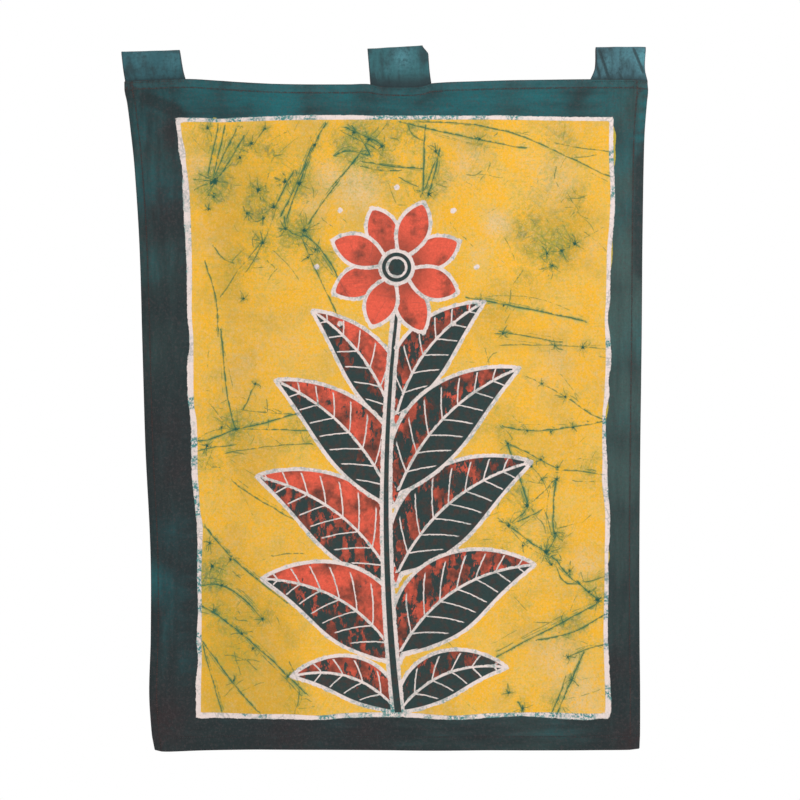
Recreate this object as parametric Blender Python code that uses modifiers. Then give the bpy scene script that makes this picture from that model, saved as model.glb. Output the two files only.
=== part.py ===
"""Batik wall hanging: one dyed cotton cloth with turned hems, hung by three sewn tab loops.

The front of the cloth faces -Y, +Z is up and +X is to the right of someone facing it.
The origin is on the line of the hanging rod that the empty loops wait for, midway across.
Sizes are in millimetres until they are placed.
"""

from collections import namedtuple
import math

import bmesh
import bpy

MM = 0.001

# Driving sizes of the cloth
CLOTH_HEIGHT = 767.0
CLOTH_THICK = 1.2
HEM_THICK = 2.0
HEM_STEP = 0.8
LEFT_HEM = 10.0
RIGHT_HEM = 13.0
TOP_HEM = 11.0
BOTTOM_HEM = 17.0
COLUMNS = 30
ROWS = 36

# Driving sizes of a tab loop
TAB_THICK = 1.1
TAB_TAIL = 12.0
TAB_RISE = 38.0
TAB_LOOP_HALF = 5.4
TAB_COLUMNS = 6
SEWN_GAP = 0.3
TAIL_GAP = 0.35
FOLD_STEPS = 4

# Shares of the tab's height: where the strip has lines, and where its two layers are fully apart
WALL_RISES = (0.0, 0.08, 0.16, 0.25, 0.35, 0.47, 0.66)
OPEN_RISE = 0.45

# The rod line lies in the middle of the loops, so the cloth hangs a little in front of it
TAIL_PITCH = TAB_THICK + TAIL_GAP
LOOP_MID_BEHIND_FRONT = HEM_THICK + SEWN_GAP + TAB_THICK / 2 + TAIL_PITCH / 2
CLOTH_FRONT_Y = -LOOP_MID_BEHIND_FRONT

# Where the two side edges hang, by how far down the cloth they are
Side = namedtuple("Side", "drop left right")
SIDES = (
    Side(0, -308.5, 293.6),
    Side(12, -307.6, 294.1),
    Side(25, -304.8, 292.8),
    Side(60, -300.4, 290.1),
    Side(100, -296.2, 288.9),
    Side(190, -290.5, 287.5),
    Side(300, -287.2, 286.6),
    Side(420, -283.6, 285.0),
    Side(540, -277.7, 284.0),
    Side(640, -277.4, 284.1),
    Side(700, -279.1, 284.7),
    Side(740, -276.8, 284.7),
    Side(767, -273.6, 284.4),
)

# Heights of the top edge, which sags between the tabs, and of the bottom edge
Edge = namedtuple("Edge", "across height")
TOP_EDGE = (
    Edge(-308, -32.0),
    Edge(-237, -29.6),
    Edge(-198, -31.7),
    Edge(-175, -33.4),
    Edge(-130, -35.7),
    Edge(-50, -35.8),
    Edge(-28, -35.4),
    Edge(-10, -38.4),
    Edge(32, -38.2),
    Edge(47, -34.4),
    Edge(101, -32.2),
    Edge(162, -30.9),
    Edge(228, -29.9),
    Edge(285, -30.4),
    Edge(294, -31.8),
)
BOTTOM_EDGE = (
    Edge(-280, -800.8),
    Edge(-255, -802.4),
    Edge(-146, -800.2),
    Edge(9, -801.6),
    Edge(100, -801.0),
    Edge(175, -801.8),
    Edge(272, -800.2),
    Edge(285, -799.4),
)

# Soft folds that run down the cloth, deepening towards the bottom; minus is towards the front
Fold = namedtuple("Fold", "top_across bottom_across half_width top_depth bottom_depth")
FOLDS = (
    Fold(-262, -268, 27, -0.6, -5.0),
    Fold(-196, -212, 36, 2.0, 3.6),
    Fold(-92, -124, 44, -2.2, -3.2),
    Fold(-2, -18, 40, 1.4, 3.4),
    Fold(96, 74, 42, -2.4, -3.8),
    Fold(190, 172, 38, 2.6, 3.4),
    Fold(262, 268, 26, -0.8, -4.4),
)
FOLD_ONSET = 90.0

# Between two tabs the top edge drops forward, and the diagonal pull from a tab's foot fades below
Swag = namedtuple("Swag", "across half_width depth reach")
SWAGS = (
    Swag(-138, 46, -3.4, 85),
    Swag(140, 44, -3.0, 85),
)

# The three tabs: edges at the fold, at the waist and at the cloth, and the fold's two heights
Tab = namedtuple(
    "Tab",
    "name top_left top_right waist_left waist_right foot_left foot_right"
    " height_left height_right clipped_corner",
)
TABS = (
    Tab("tab_left", -311.4, -244.3, -308.9, -240.8, -307.3, -237.6, 1.6, 3.2, 0.0),
    Tab("tab_middle", -28.6, 40.6, -26.4, 42.9, -25.3, 45.0, 4.8, 7.8, 6.0),
    Tab("tab_right", 233.8, 291.4, 233.0, 290.2, 227.8, 293.6, 7.0, 7.0, 0.0),
)
WAIST_RISE = 0.35
CLIP_RISE = 0.76

DYED_TEAL = (0.035, 0.085, 0.09, 1.0)
DYED_YELLOW = (0.74, 0.44, 0.08, 1.0)
COTTON_ROUGHNESS = 0.9


def clear_scene():
    for old in list(bpy.data.objects):
        bpy.data.objects.remove(old, do_unlink=True)


def smooth_step(value):
    value = min(1.0, max(0.0, value))
    return value * value * (3.0 - 2.0 * value)


def blend(low, high, share):
    return low + (high - low) * share


def bump(distance, half_width):
    """A soft round ridge: 1 at its middle and nearly nothing past two half widths."""
    return math.exp(-((distance / half_width) ** 2))


def through(keys, values, at):
    """The value at one place on a smooth curve through the rows of a table."""
    if at <= keys[0]:
        return values[0]
    if at >= keys[-1]:
        return values[-1]
    last = len(keys) - 1
    i = max(n for n in range(last) if keys[n] <= at)

    def slope(n):
        before = max(n - 1, 0)
        after = min(n + 1, last)
        return (values[after] - values[before]) / (keys[after] - keys[before])

    span = keys[i + 1] - keys[i]
    u = (at - keys[i]) / span
    start = (2 * u**3 - 3 * u**2 + 1) * values[i] + (u**3 - 2 * u**2 + u) * span * slope(i)
    end = (3 * u**2 - 2 * u**3) * values[i + 1] + (u**3 - u**2) * span * slope(i + 1)
    return start + end


def side_edges(drop):
    drops = [row.drop for row in SIDES]
    left = through(drops, [row.left for row in SIDES], drop)
    right = through(drops, [row.right for row in SIDES], drop)
    return left, right


def edge_height(table, across):
    return through([row.across for row in table], [row.height for row in table], across)


def cloth_depth(across, drop):
    """How far the cloth's front face lies behind its hanging plane."""
    down = min(1.0, max(0.0, drop / CLOTH_HEIGHT))
    folded = 0.0
    for fold in FOLDS:
        middle = blend(fold.top_across, fold.bottom_across, down)
        deep = blend(fold.top_depth, fold.bottom_depth, down)
        folded += deep * bump(across - middle, fold.half_width)
    folded *= smooth_step(drop / FOLD_ONSET)
    for swag in SWAGS:
        folded += swag.depth * bump(across - swag.across, swag.half_width) * bump(drop, swag.reach)
    return folded


def spaced_shares(hem_before, hem_after, size, count):
    """Shares of one size of the cloth: a close pair of lines at each hem, even steps between."""
    first = (0.0, hem_before / size, (hem_before + HEM_STEP) / size)
    last = (1 - (hem_after + HEM_STEP) / size, 1 - hem_after / size, 1.0)
    inner = [blend(first[2], last[0], n / count) for n in range(1, count)]
    return [*first, *inner, *last]


def finish(name, mesh, colour, home):
    obj = bpy.data.objects.new(name, mesh)
    home.objects.link(obj)
    material = bpy.data.materials.new(name + "_finish")
    material.use_nodes = True
    shader = material.node_tree.nodes["Principled BSDF"]
    shader.inputs["Base Color"].default_value = colour
    shader.inputs["Roughness"].default_value = COTTON_ROUGHNESS
    shader.inputs["Metallic"].default_value = 0.0
    mesh.materials.append(material)
    mesh.shade_smooth()
    return obj


def grid_mesh(name, columns, rows, place):
    """A grid of columns by rows points, each put where place(column, row) says.

    The second value holds each point's own column and row, in the order of the mesh's points.
    """
    bm = bmesh.new()
    bmesh.ops.create_grid(bm, x_segments=columns - 1, y_segments=rows - 1, size=1.0)
    spots = []
    for vert in bm.verts:
        column = round((vert.co.x + 1) / 2 * (columns - 1))
        row = round((vert.co.y + 1) / 2 * (rows - 1))
        vert.co = [size * MM for size in place(column, row)]
        spots.append((column, row))
    mesh = bpy.data.meshes.new(name)
    bm.to_mesh(mesh)
    bm.free()
    return mesh, spots


def build_cloth(home):
    """The dyed panel. Its turned hems are the same cloth, two layers thick, stepped on the back."""
    left, right = side_edges(CLOTH_HEIGHT / 2)
    width = right - left
    across_shares = spaced_shares(LEFT_HEM, RIGHT_HEM, width, COLUMNS)
    up_shares = spaced_shares(BOTTOM_HEM, TOP_HEM, CLOTH_HEIGHT, ROWS)

    def place(column, row):
        down = 1 - up_shares[row]
        drop = down * CLOTH_HEIGHT
        left, right = side_edges(drop)
        across = blend(left, right, across_shares[column])
        height = blend(edge_height(TOP_EDGE, across), edge_height(BOTTOM_EDGE, across), down)
        return across, CLOTH_FRONT_Y + cloth_depth(across, drop), height

    mesh, spots = grid_mesh("batik_cloth", len(across_shares), len(up_shares), place)
    cloth = finish("batik_cloth", mesh, DYED_YELLOW, home)

    hem_columns = (0, 1, len(across_shares) - 2, len(across_shares) - 1)
    hem_rows = (0, 1, len(up_shares) - 2, len(up_shares) - 1)
    hem = cloth.vertex_groups.new(name="hem")
    for index, (column, row) in enumerate(spots):
        if column in hem_columns or row in hem_rows:
            hem.add([index], 1.0, "REPLACE")

    thick = cloth.modifiers.new("cloth_thickness", "SOLIDIFY")
    thick.thickness = HEM_THICK * MM
    thick.offset = -1.0
    thick.vertex_group = "hem"
    thick.thickness_vertex_group = CLOTH_THICK / HEM_THICK
    return cloth


def loop_rows():
    """The strip's line from the front tail, over the fold, to the back tail.

    Each row is (rise, depth): rise in shares of the tab's height above the cloth, with the
    tails in millimetres below nought, and depth from the loop's middle plane.
    """
    narrow = TAIL_PITCH / 2
    shoulder = 1 - TAB_LOOP_HALF / TAB_RISE
    front = [(-TAB_TAIL, narrow), (-TAB_TAIL / 2, narrow)]
    for rise in (*WALL_RISES, shoulder):
        open_share = smooth_step(rise / OPEN_RISE)
        front.append((rise, blend(narrow, TAB_LOOP_HALF, open_share)))
    for step in range(1, FOLD_STEPS):
        turn = math.pi / 2 * step / FOLD_STEPS
        rise = shoulder + (1 - shoulder) * math.sin(turn)
        front.append((rise, TAB_LOOP_HALF * math.cos(turn)))
    behind = [(rise, depth) for rise, depth in reversed(front)]
    return [(rise, -depth) for rise, depth in front] + [(1.0, 0.0)] + behind


def tab_edges(tab, rise):
    """Left and right edge of a tab at one rise, through its foot, waist and fold."""
    rises = (0.0, WAIST_RISE, 1.0)
    left = through(rises, (tab.foot_left, tab.waist_left, tab.top_left), rise)
    right = through(rises, (tab.foot_right, tab.waist_right, tab.top_right), rise)
    clipped = tab.clipped_corner * smooth_step((rise - CLIP_RISE) / (1 - CLIP_RISE))
    return left, right - clipped


def build_tab(tab, home):
    """One strip of cloth folded into a loop, its two tails sewn behind the top hem."""
    rows = loop_rows()

    def place(column, row):
        rise, depth = rows[row]
        share = column / TAB_COLUMNS
        left, right = tab_edges(tab, max(0.0, rise))
        across = blend(left, right, share)
        foot = edge_height(TOP_EDGE, across)
        fold = blend(tab.height_left, tab.height_right, share)
        height = foot + rise if rise < 0 else blend(foot, fold, rise)
        hung_on = cloth_depth(across, max(0.0, -rise))
        return across, depth + hung_on, height

    mesh, _ = grid_mesh(tab.name, TAB_COLUMNS + 1, len(rows), place)
    loop = finish(tab.name, mesh, DYED_TEAL, home)
    thick = loop.modifiers.new("strip_thickness", "SOLIDIFY")
    thick.thickness = TAB_THICK * MM
    thick.offset = 0.0
    return loop


def main():
    clear_scene()
    home = bpy.data.collections.new("batik_wall_hanging")
    bpy.context.scene.collection.children.link(home)
    build_cloth(home)
    for tab in TABS:
        build_tab(tab, home)


main()
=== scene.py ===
# Looks of the batik wall hanging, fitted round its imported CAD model.

from collections import namedtuple
import math

import bpy
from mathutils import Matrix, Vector, noise
import numpy as np


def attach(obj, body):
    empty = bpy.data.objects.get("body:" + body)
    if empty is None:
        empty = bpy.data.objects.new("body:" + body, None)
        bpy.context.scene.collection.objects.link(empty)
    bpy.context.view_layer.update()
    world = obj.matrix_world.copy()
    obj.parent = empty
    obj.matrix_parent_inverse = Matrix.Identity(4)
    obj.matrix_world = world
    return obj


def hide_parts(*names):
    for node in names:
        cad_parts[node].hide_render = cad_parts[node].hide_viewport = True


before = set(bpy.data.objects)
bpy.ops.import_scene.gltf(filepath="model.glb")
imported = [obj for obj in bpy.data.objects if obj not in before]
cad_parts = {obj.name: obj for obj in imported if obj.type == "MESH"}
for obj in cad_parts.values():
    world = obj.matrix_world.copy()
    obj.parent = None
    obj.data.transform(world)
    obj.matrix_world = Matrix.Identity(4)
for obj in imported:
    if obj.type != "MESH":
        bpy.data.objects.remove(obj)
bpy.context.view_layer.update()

# Cloth panel, its shape
# The real piece is one width of plain woven cotton, hand waxed and dyed, then turned to the back
# along all four edges and sewn down. It hangs from three tabs, so its top edge sags between them
# and long soft folds run down it. It has been stored folded in four.

MM = 0.001
CLOTH_HEIGHT = 767.0
CLOTH_WIDTH = 572.0
CLOTH_FRONT_Y = -3.575
SINGLE_THICK = 0.9
HEM_BACK = 1.9
LEFT_HEM = 10.0
RIGHT_HEM = 13.0
TOP_HEM = 11.0
BOTTOM_HEM = 17.0
SEAM_IN = 1.2
HEM_STEP = 0.6
ROLL_RADIUS = 0.95
ROLL_LINES = (0.05, 0.28, 0.95)
STEPS_ACROSS = 178
STEPS_DOWN = 242
CORNER_RADII = {"top_left": 2.5, "top_right": 2.5, "bottom_left": 5.0, "bottom_right": 3.0}


def table_of(kind, *rows):
    """One named tuple for each row of numbers."""
    return tuple(kind(*row) for row in rows)


Side = namedtuple("Side", "drop left right")
SIDES = table_of(
    Side,
    (0, -308.5, 293.6), (12, -307.6, 294.1), (25, -304.8, 292.8), (60, -300.4, 290.1),
    (100, -296.2, 288.9), (190, -290.5, 287.5), (300, -287.2, 286.6), (420, -283.6, 285.0),
    (540, -277.7, 284.0), (640, -277.4, 284.1), (700, -279.1, 284.7), (740, -276.8, 284.7),
    (767, -273.6, 284.4),
)

Edge = namedtuple("Edge", "across height")
TOP_EDGE = table_of(
    Edge,
    (-308, -32.0), (-237, -29.6), (-198, -31.7), (-175, -33.4), (-130, -35.7), (-50, -35.8),
    (-28, -35.4), (-10, -38.4), (32, -38.2), (47, -34.4), (101, -32.2), (162, -30.9), (228, -29.9),
    (285, -30.4), (294, -31.8),
)
BOTTOM_EDGE = table_of(
    Edge,
    (-280, -800.8), (-255, -802.4), (-146, -800.2), (9, -801.6), (100, -801.0), (175, -801.8),
    (272, -800.2), (285, -799.4),
)

# Long soft folds; a minus depth is towards the front
Fold = namedtuple("Fold", "top_across bottom_across half_width top_depth bottom_depth")
FOLDS = table_of(
    Fold,
    (-262, -268, 27, -0.6, -5.0), (-196, -212, 36, 2.0, 3.6), (-92, -124, 44, -2.2, -3.2),
    (-2, -18, 40, 1.4, 3.4), (96, 74, 42, -2.4, -3.8), (190, 172, 38, 2.6, 3.4),
    (262, 268, 26, -0.8, -4.4),
)
FOLD_ONSET = 90.0
Swag = namedtuple("Swag", "across half_width depth reach")
SWAGS = table_of(
    Swag,
    (-138, 46, -3.4, 85), (140, 44, -3.0, 85),
)

# Creases and tucks, by their two ends
Crease = namedtuple("Crease", "start_x start_z end_x end_z half_width depth")
CREASES = table_of(
    Crease,
    (-7, -500, -5, -750, 3.4, 0.75), (-4, -90, -6, -470, 3.6, 0.30),
    (128, -629, 244, -629, 3.4, 0.60), (-220, -626, 110, -628, 3.6, 0.25),
    (-296, -46, -236, -72, 8.0, 1.50), (-292, -66, -262, -96, 7.0, -0.60),
    (286, -52, 283, -212, 2.3, 1.25), (281, -200, 279, -262, 2.0, 0.90),
    (-22, -37, -21, -52, 1.8, 0.45), (-12, -39, -12, -50, 1.6, 0.35), (-2, -39, -3, -52, 1.8, 0.45),
    (8, -39, 9, -49, 1.6, 0.35), (55, -35, 55, -46, 1.6, 0.50), (-60, -36, -10, -62, 7.0, 0.60),
    (62, -36, 20, -64, 7.0, 0.60), (236, -31, 196, -70, 9.0, 0.70),
)


def smooth_step(value):
    value = np.clip(value, 0.0, 1.0)
    return value * value * (3.0 - 2.0 * value)


def bump(distance, half_width):
    return np.exp(-((distance / half_width) ** 2))


def through(keys, values, at):
    """The value at each place on a smooth curve through the rows of a table."""
    keys = np.array(keys, float)
    values = np.array(values, float)
    slopes = np.empty_like(values)
    slopes[1:-1] = (values[2:] - values[:-2]) / (keys[2:] - keys[:-2])
    slopes[0] = (values[1] - values[0]) / (keys[1] - keys[0])
    slopes[-1] = (values[-1] - values[-2]) / (keys[-1] - keys[-2])
    at = np.clip(at, keys[0], keys[-1])
    i = np.clip(np.searchsorted(keys, at, side="right") - 1, 0, len(keys) - 2)
    span = keys[i + 1] - keys[i]
    u = (at - keys[i]) / span
    start = (2 * u**3 - 3 * u**2 + 1) * values[i] + (u**3 - 2 * u**2 + u) * span * slopes[i]
    end = (3 * u**2 - 2 * u**3) * values[i + 1] + (u**3 - u**2) * span * slopes[i + 1]
    return start + end


def column_of(table, name):
    return [getattr(row, name) for row in table]


def side_edges(drop):
    drops = column_of(SIDES, "drop")
    left = through(drops, column_of(SIDES, "left"), drop)
    right = through(drops, column_of(SIDES, "right"), drop)
    return left, right


def edge_height(table, across):
    return through(column_of(table, "across"), column_of(table, "height"), across)


def cloth_depth(across, drop):
    """How far the long folds and swags put the front face behind its hanging plane."""
    down = np.clip(drop / CLOTH_HEIGHT, 0.0, 1.0)
    folded = 0.0
    for fold in FOLDS:
        middle = fold.top_across + (fold.bottom_across - fold.top_across) * down
        deep = fold.top_depth + (fold.bottom_depth - fold.top_depth) * down
        folded = folded + deep * bump(across - middle, fold.half_width)
    folded = folded * smooth_step(drop / FOLD_ONSET)
    for swag in SWAGS:
        sunk = swag.depth * bump(across - swag.across, swag.half_width)
        folded = folded + sunk * bump(drop, swag.reach)
    return folded


def soft_noise(x, z, size_x, size_z, seed):
    """Smooth unevenness from -1 to 1, its lumps about size_x by size_z."""
    flat_x = (x / size_x).ravel()
    flat_z = (z / size_z).ravel()
    lumps = [noise.noise(Vector((a, b, seed))) for a, b in zip(flat_x.tolist(), flat_z.tolist())]
    return np.array(lumps).reshape(x.shape)


def crease_depth(creases, x, z):
    """Troughs and ridges along straight runs, fading out at both ends."""
    total = np.zeros_like(x)
    for crease in creases:
        run = np.array([crease.end_x - crease.start_x, crease.end_z - crease.start_z], float)
        length = np.hypot(*run)
        run /= length
        along = (x - crease.start_x) * run[0] + (z - crease.start_z) * run[1]
        aside = (x - crease.start_x) * run[1] - (z - crease.start_z) * run[0]
        fade = smooth_step(along / length * 5) * smooth_step((1 - along / length) * 5)
        total += crease.depth * bump(aside, crease.half_width) * fade
    return total


def corner_moved(side, fall, radius):
    """Pulls the grid in round one corner; side and fall count from that corner's two edges."""
    in_side = np.clip(radius - side, 0.0, None)
    in_fall = np.clip(radius - fall, 0.0, None)
    reach = np.maximum(np.hypot(in_side, in_fall), 1e-9)
    kept = np.where(reach > 1e-6, np.maximum(in_side, in_fall) / reach, 1.0)
    return side + in_side * (1 - kept), fall + in_fall * (1 - kept)


def seam_gaps(side, fall):
    """How far inside the left, right, top and bottom seam each place is."""
    return (
        side - LEFT_HEM + SEAM_IN,
        CLOTH_WIDTH - side - RIGHT_HEM + SEAM_IN,
        fall - TOP_HEM + SEAM_IN,
        CLOTH_HEIGHT - fall - BOTTOM_HEM + SEAM_IN,
    )


def front_points(side, fall):
    """Where the front face hangs, for distances in from the left edge and down from the top."""
    share = side / CLOTH_WIDTH
    down = fall / CLOTH_HEIGHT
    left, right = side_edges(fall)
    x = left + (right - left) * share
    top = edge_height(TOP_EDGE, x)
    z = top + (edge_height(BOTTOM_EDGE, x) - top) * down
    relief = 0.75 * soft_noise(x, z, 62, 80, 1.5) + 0.28 * soft_noise(x, z, 21, 30, 4.5)
    relief = relief * smooth_step(fall / 40) + crease_depth(CREASES, x, z)
    for gap, run in zip(seam_gaps(side, fall), (z, z + 50, x + 90, x - 70)):
        pucker = soft_noise(run, gap, 5.5, 16, 8.5)
        relief = relief + bump(gap, 0.8) * 0.22 + bump(gap, 5.0) * pucker * 0.22
    return x, CLOTH_FRONT_Y + cloth_depth(x, fall) + relief, z


def grid_lines(hem_before, hem_after, size, steps):
    """Distances of the grid's lines from one edge, close together at the two hems."""
    first = [*ROLL_LINES, hem_before - SEAM_IN, hem_before, hem_before + HEM_STEP]
    end = [*ROLL_LINES, hem_after - SEAM_IN, hem_after, hem_after + HEM_STEP]
    last = [size - gap for gap in reversed(end)]
    inner = np.linspace(first[-1], last[0], steps + 1)[1:-1]
    return np.array([*first, *inner, *last])


def grid_faces(rows, columns, start, front):
    """Quads of a grid whose points run row by row from the top left."""
    row, column = np.meshgrid(np.arange(rows - 1), np.arange(columns - 1), indexing="ij")
    corner = (start + row * columns + column).ravel()
    quads = [corner + columns, corner + columns + 1, corner + 1, corner]
    if not front:
        quads.reverse()
    return np.stack(quads, axis=1).tolist()


def rim_faces(chain, other, flip):
    """Quads that close one edge between two faces of a sheet."""
    faces = []
    for n in range(len(chain) - 1):
        quad = [int(chain[n]), int(chain[n + 1]), int(other[n + 1]), int(other[n])]
        faces.append(quad[::-1] if flip else quad)
    return faces


def sheet_faces(rows, columns, first_in_front):
    """Both faces of a sheet and its rim, from one grid of points and a second grid after it."""
    first = np.arange(rows * columns).reshape(rows, columns)
    second = first + rows * columns
    front, back = (0, rows * columns) if first_in_front else (rows * columns, 0)
    faces = grid_faces(rows, columns, front, True) + grid_faces(rows, columns, back, False)
    for end in (0, -1):
        faces += rim_faces(first[end], second[end], (end == -1) == first_in_front)
    for end in (0, -1):
        faces += rim_faces(first[:, end], second[:, end], (end == 0) == first_in_front)
    return faces


def mesh_from(name, points, faces):
    mesh = bpy.data.meshes.new(name)
    mesh.from_pydata((points * MM).tolist(), [], faces)
    mesh.validate()
    mesh.update()
    mesh.shade_smooth()
    return mesh


def shown(name, mesh):
    obj = bpy.data.objects.new(name, mesh)
    bpy.context.scene.collection.objects.link(obj)
    return obj


def map_flat(mesh, across, up):
    """A UV map in metres of the flat cloth, from one place for each point."""
    layer = mesh.uv_layers.new(name="flat_cloth")
    corners = np.empty(len(mesh.loops), dtype=np.int32)
    mesh.loops.foreach_get("vertex_index", corners)
    flat = np.stack([across[corners], up[corners]], axis=1) * MM
    layer.data.foreach_set("uv", flat.astype(np.float32).ravel())


def note(mesh, name, first, second, third):
    """Keeps three numbers on each point for the material to read."""
    layer = mesh.attributes.new(name, "FLOAT_VECTOR", "POINT")
    values = np.stack([first, second, third], axis=1).astype(np.float32)
    layer.data.foreach_set("vector", values.ravel())


side_lines = grid_lines(LEFT_HEM, RIGHT_HEM, CLOTH_WIDTH, STEPS_ACROSS)
fall_lines = grid_lines(TOP_HEM, BOTTOM_HEM, CLOTH_HEIGHT, STEPS_DOWN)
fall, side = np.meshgrid(fall_lines, side_lines, indexing="ij")
edge_gap = np.minimum.reduce([side, CLOTH_WIDTH - side, fall, CLOTH_HEIGHT - fall])
hemmed = (side <= LEFT_HEM + 0.01) | (CLOTH_WIDTH - side <= RIGHT_HEM + 0.01)
hemmed |= (fall <= TOP_HEM + 0.01) | (CLOTH_HEIGHT - fall <= BOTTOM_HEM + 0.01)

side, fall = corner_moved(side, fall, CORNER_RADII["top_left"])
other, fall = corner_moved(CLOTH_WIDTH - side, fall, CORNER_RADII["top_right"])
side = CLOTH_WIDTH - other
side, other_fall = corner_moved(side, CLOTH_HEIGHT - fall, CORNER_RADII["bottom_left"])
other, other_fall = corner_moved(CLOTH_WIDTH - side, other_fall, CORNER_RADII["bottom_right"])
side = CLOTH_WIDTH - other
fall = CLOTH_HEIGHT - other_fall

front_x, front_y, front_z = front_points(side, fall)
inside_roll = np.clip(ROLL_RADIUS - edge_gap, 0.0, ROLL_RADIUS)
roll = ROLL_RADIUS - np.sqrt(ROLL_RADIUS**2 - inside_roll**2)
back_y = front_y + np.where(hemmed, HEM_BACK, SINGLE_THICK) - roll
back_y += np.where(hemmed & (edge_gap > 2), 0.12 * soft_noise(front_x, front_z, 9, 9, 2.5), 0.0)

rows, columns = front_x.shape
front_cloth = np.stack([front_x, front_y + roll, front_z], axis=-1).reshape(-1, 3)
back_cloth = np.stack([front_x, back_y, front_z], axis=-1).reshape(-1, 3)
cloth_points = np.concatenate([front_cloth, back_cloth])
cloth_mesh = mesh_from("batik_cloth", cloth_points, sheet_faces(rows, columns, True))
cloth = shown("dyed_panel", cloth_mesh)
map_flat(cloth_mesh, np.tile(side.ravel(), 2), np.tile(-fall.ravel(), 2))

# Cloth panel, its waxed lines and dyes
# The maker drew an off-white line with hot wax round a yellow field, waxed the field over and
# crumpled it, so the last green dye ran into the cracks, and left the border to the dark dye.
# The picture in the middle is a plain plant with a flower, outlined in wax over red and dark dye.

Line = namedtuple("Line", "along middle half_width")
LEFT_LINE = table_of(
    Line,
    (74, -247.5, 2.6), (82, -245.8, 2.6), (97, -243.9, 2.6), (112, -241.6, 3.8), (127, -239.7, 2.8),
    (141, -237.9, 3.0), (164, -236.7, 4.0), (240, -233.3, 3.2), (302, -232.9, 2.6),
    (329, -230.7, 2.2), (362, -232.2, 3.8), (403, -231.0, 3.2), (422, -228.2, 3.4),
    (448, -227.5, 3.8), (479, -227.3, 3.6), (499, -225.8, 3.4), (525, -223.6, 2.8),
    (543, -221.4, 3.4), (566, -221.2, 2.8), (600, -222.0, 2.6), (641, -221.2, 2.2),
    (675, -222.1, 2.8), (698, -221.2, 2.2), (721, -222.6, 2.9), (765, -223.0, 2.9),
)
RIGHT_LINE = table_of(
    Line,
    (74, 251.7, 2.4), (118, 251.5, 2.6), (151, 252.9, 2.6), (168, 253.2, 2.8), (197, 251.8, 2.6),
    (226, 249.2, 2.6), (255, 248.4, 2.4), (283, 247.7, 2.4), (306, 245.9, 1.9), (330, 247.7, 2.8),
    (353, 248.4, 3.2), (377, 246.5, 2.2), (393, 246.5, 3.0), (412, 243.6, 2.0), (448, 243.5, 2.4),
    (471, 244.2, 2.8), (492, 244.0, 3.1), (526, 247.1, 2.8), (551, 247.2, 2.9), (574, 246.1, 2.2),
    (609, 246.1, 2.4), (667, 245.1, 2.6), (720, 247.1, 3.2), (752, 248.0, 3.4), (765, 246.0, 3.0),
)
TOP_LINE = table_of(
    Line,
    (-246, 76.9, 2.6), (-221, 76.7, 2.4), (-198, 77.4, 2.2), (-175, 76.6, 2.4), (-136, 75.3, 2.6),
    (-90, 74.2, 2.8), (9, 74.1, 2.4), (124, 74.4, 2.4), (170, 75.1, 2.3), (217, 75.6, 2.3),
    (253, 76.0, 2.4),
)
BOTTOM_LINE = table_of(
    Line,
    (-224, 761.5, 3.4), (-204, 761.1, 3.2), (-152, 762.0, 2.9), (-118, 762.0, 2.9),
    (-94, 763.4, 2.7), (-77, 763.2, 2.6), (-60, 761.6, 2.9), (-37, 760.7, 2.9), (9, 760.5, 2.9),
    (32, 761.2, 2.7), (55, 762.9, 2.6), (73, 763.2, 2.6), (90, 762.5, 2.8), (107, 761.2, 2.8),
    (142, 760.0, 2.2), (165, 760.4, 2.6), (182, 761.2, 3.4), (222, 762.7, 3.8), (242, 761.5, 3.2),
)
LINE_HALF = 3.0

# Places where the yellow ran out past the waxed line
Spill = namedtuple("Spill", "side along half_length reach")
SPILLS = (
    Spill("right", 96, 13, 5.6),
    Spill("right", 120, 14, 4.6),
    Spill("right", 231, 22, 4.2),
    Spill("right", 410, 14, 4.3),
    Spill("right", 578, 10, 3.8),
    Spill("top", -204, 3, 4.2),
)

# Green stains in the waxed line
Stain = namedtuple("Stain", "across height reach strength")
LINE_STAINS = table_of(
    Stain,
    (-231, -403, 6, 1.0), (-228, -448, 6, 1.0), (-228, -468, 6, 0.8), (-227, -498, 6, 0.8),
    (-225, -520, 12, 0.9), (-221, -579, 7, 1.0), (-223, -594, 6, 0.8), (-223, -610, 10, 0.9),
    (-221, -635, 7, 0.9), (-223, -669, 3, 1.0), (-221, -684, 9, 0.6), (-169, -759, 4, 0.7),
    (-148, -762, 9, 0.4), (-76, -763, 9, 1.0), (-52, -762, 7, 0.5), (-30, -761, 12, 0.4),
    (0, -761, 16, 0.5), (42, -762, 5, 0.5), (72, -764, 20, 0.5), (93, -762, 4, 1.0),
    (114, -761, 13, 0.6), (140, -760, 12, 0.9), (168, -760, 11, 0.5), (189, -761, 9, 1.0),
    (220, -766, 20, 0.6), (-230, -77, 8, 0.5), (-205, -77, 9, 0.7), (-182, -77, 12, 0.7),
    (-155, -76, 12, 0.5), (-125, -75, 13, 0.7), (-95, -74, 9, 0.6), (-18, -74, 12, 0.8),
    (6, -74, 14, 0.9), (35, -74, 16, 0.9), (66, -74, 14, 0.7), (100, -74, 12, 0.5),
    (-238, -140, 10, 0.25), (-237, -172, 12, 0.25), (-236, -205, 14, 0.25), (-234, -250, 14, 0.25),
    (140, -75, 10, 0.5), (252, -118, 8, 0.5), (253, -160, 9, 0.5), (247, -334, 5, 0.7),
    (244, -423, 6, 0.9), (244, -438, 5, 0.8), (246, -508, 9, 0.4), (246, -601, 5, 0.8),
    (246, -628, 7, 0.8), (245, -645, 6, 0.7), (245, -679, 6, 0.6), (247, -735, 10, 0.6),
)

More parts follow.
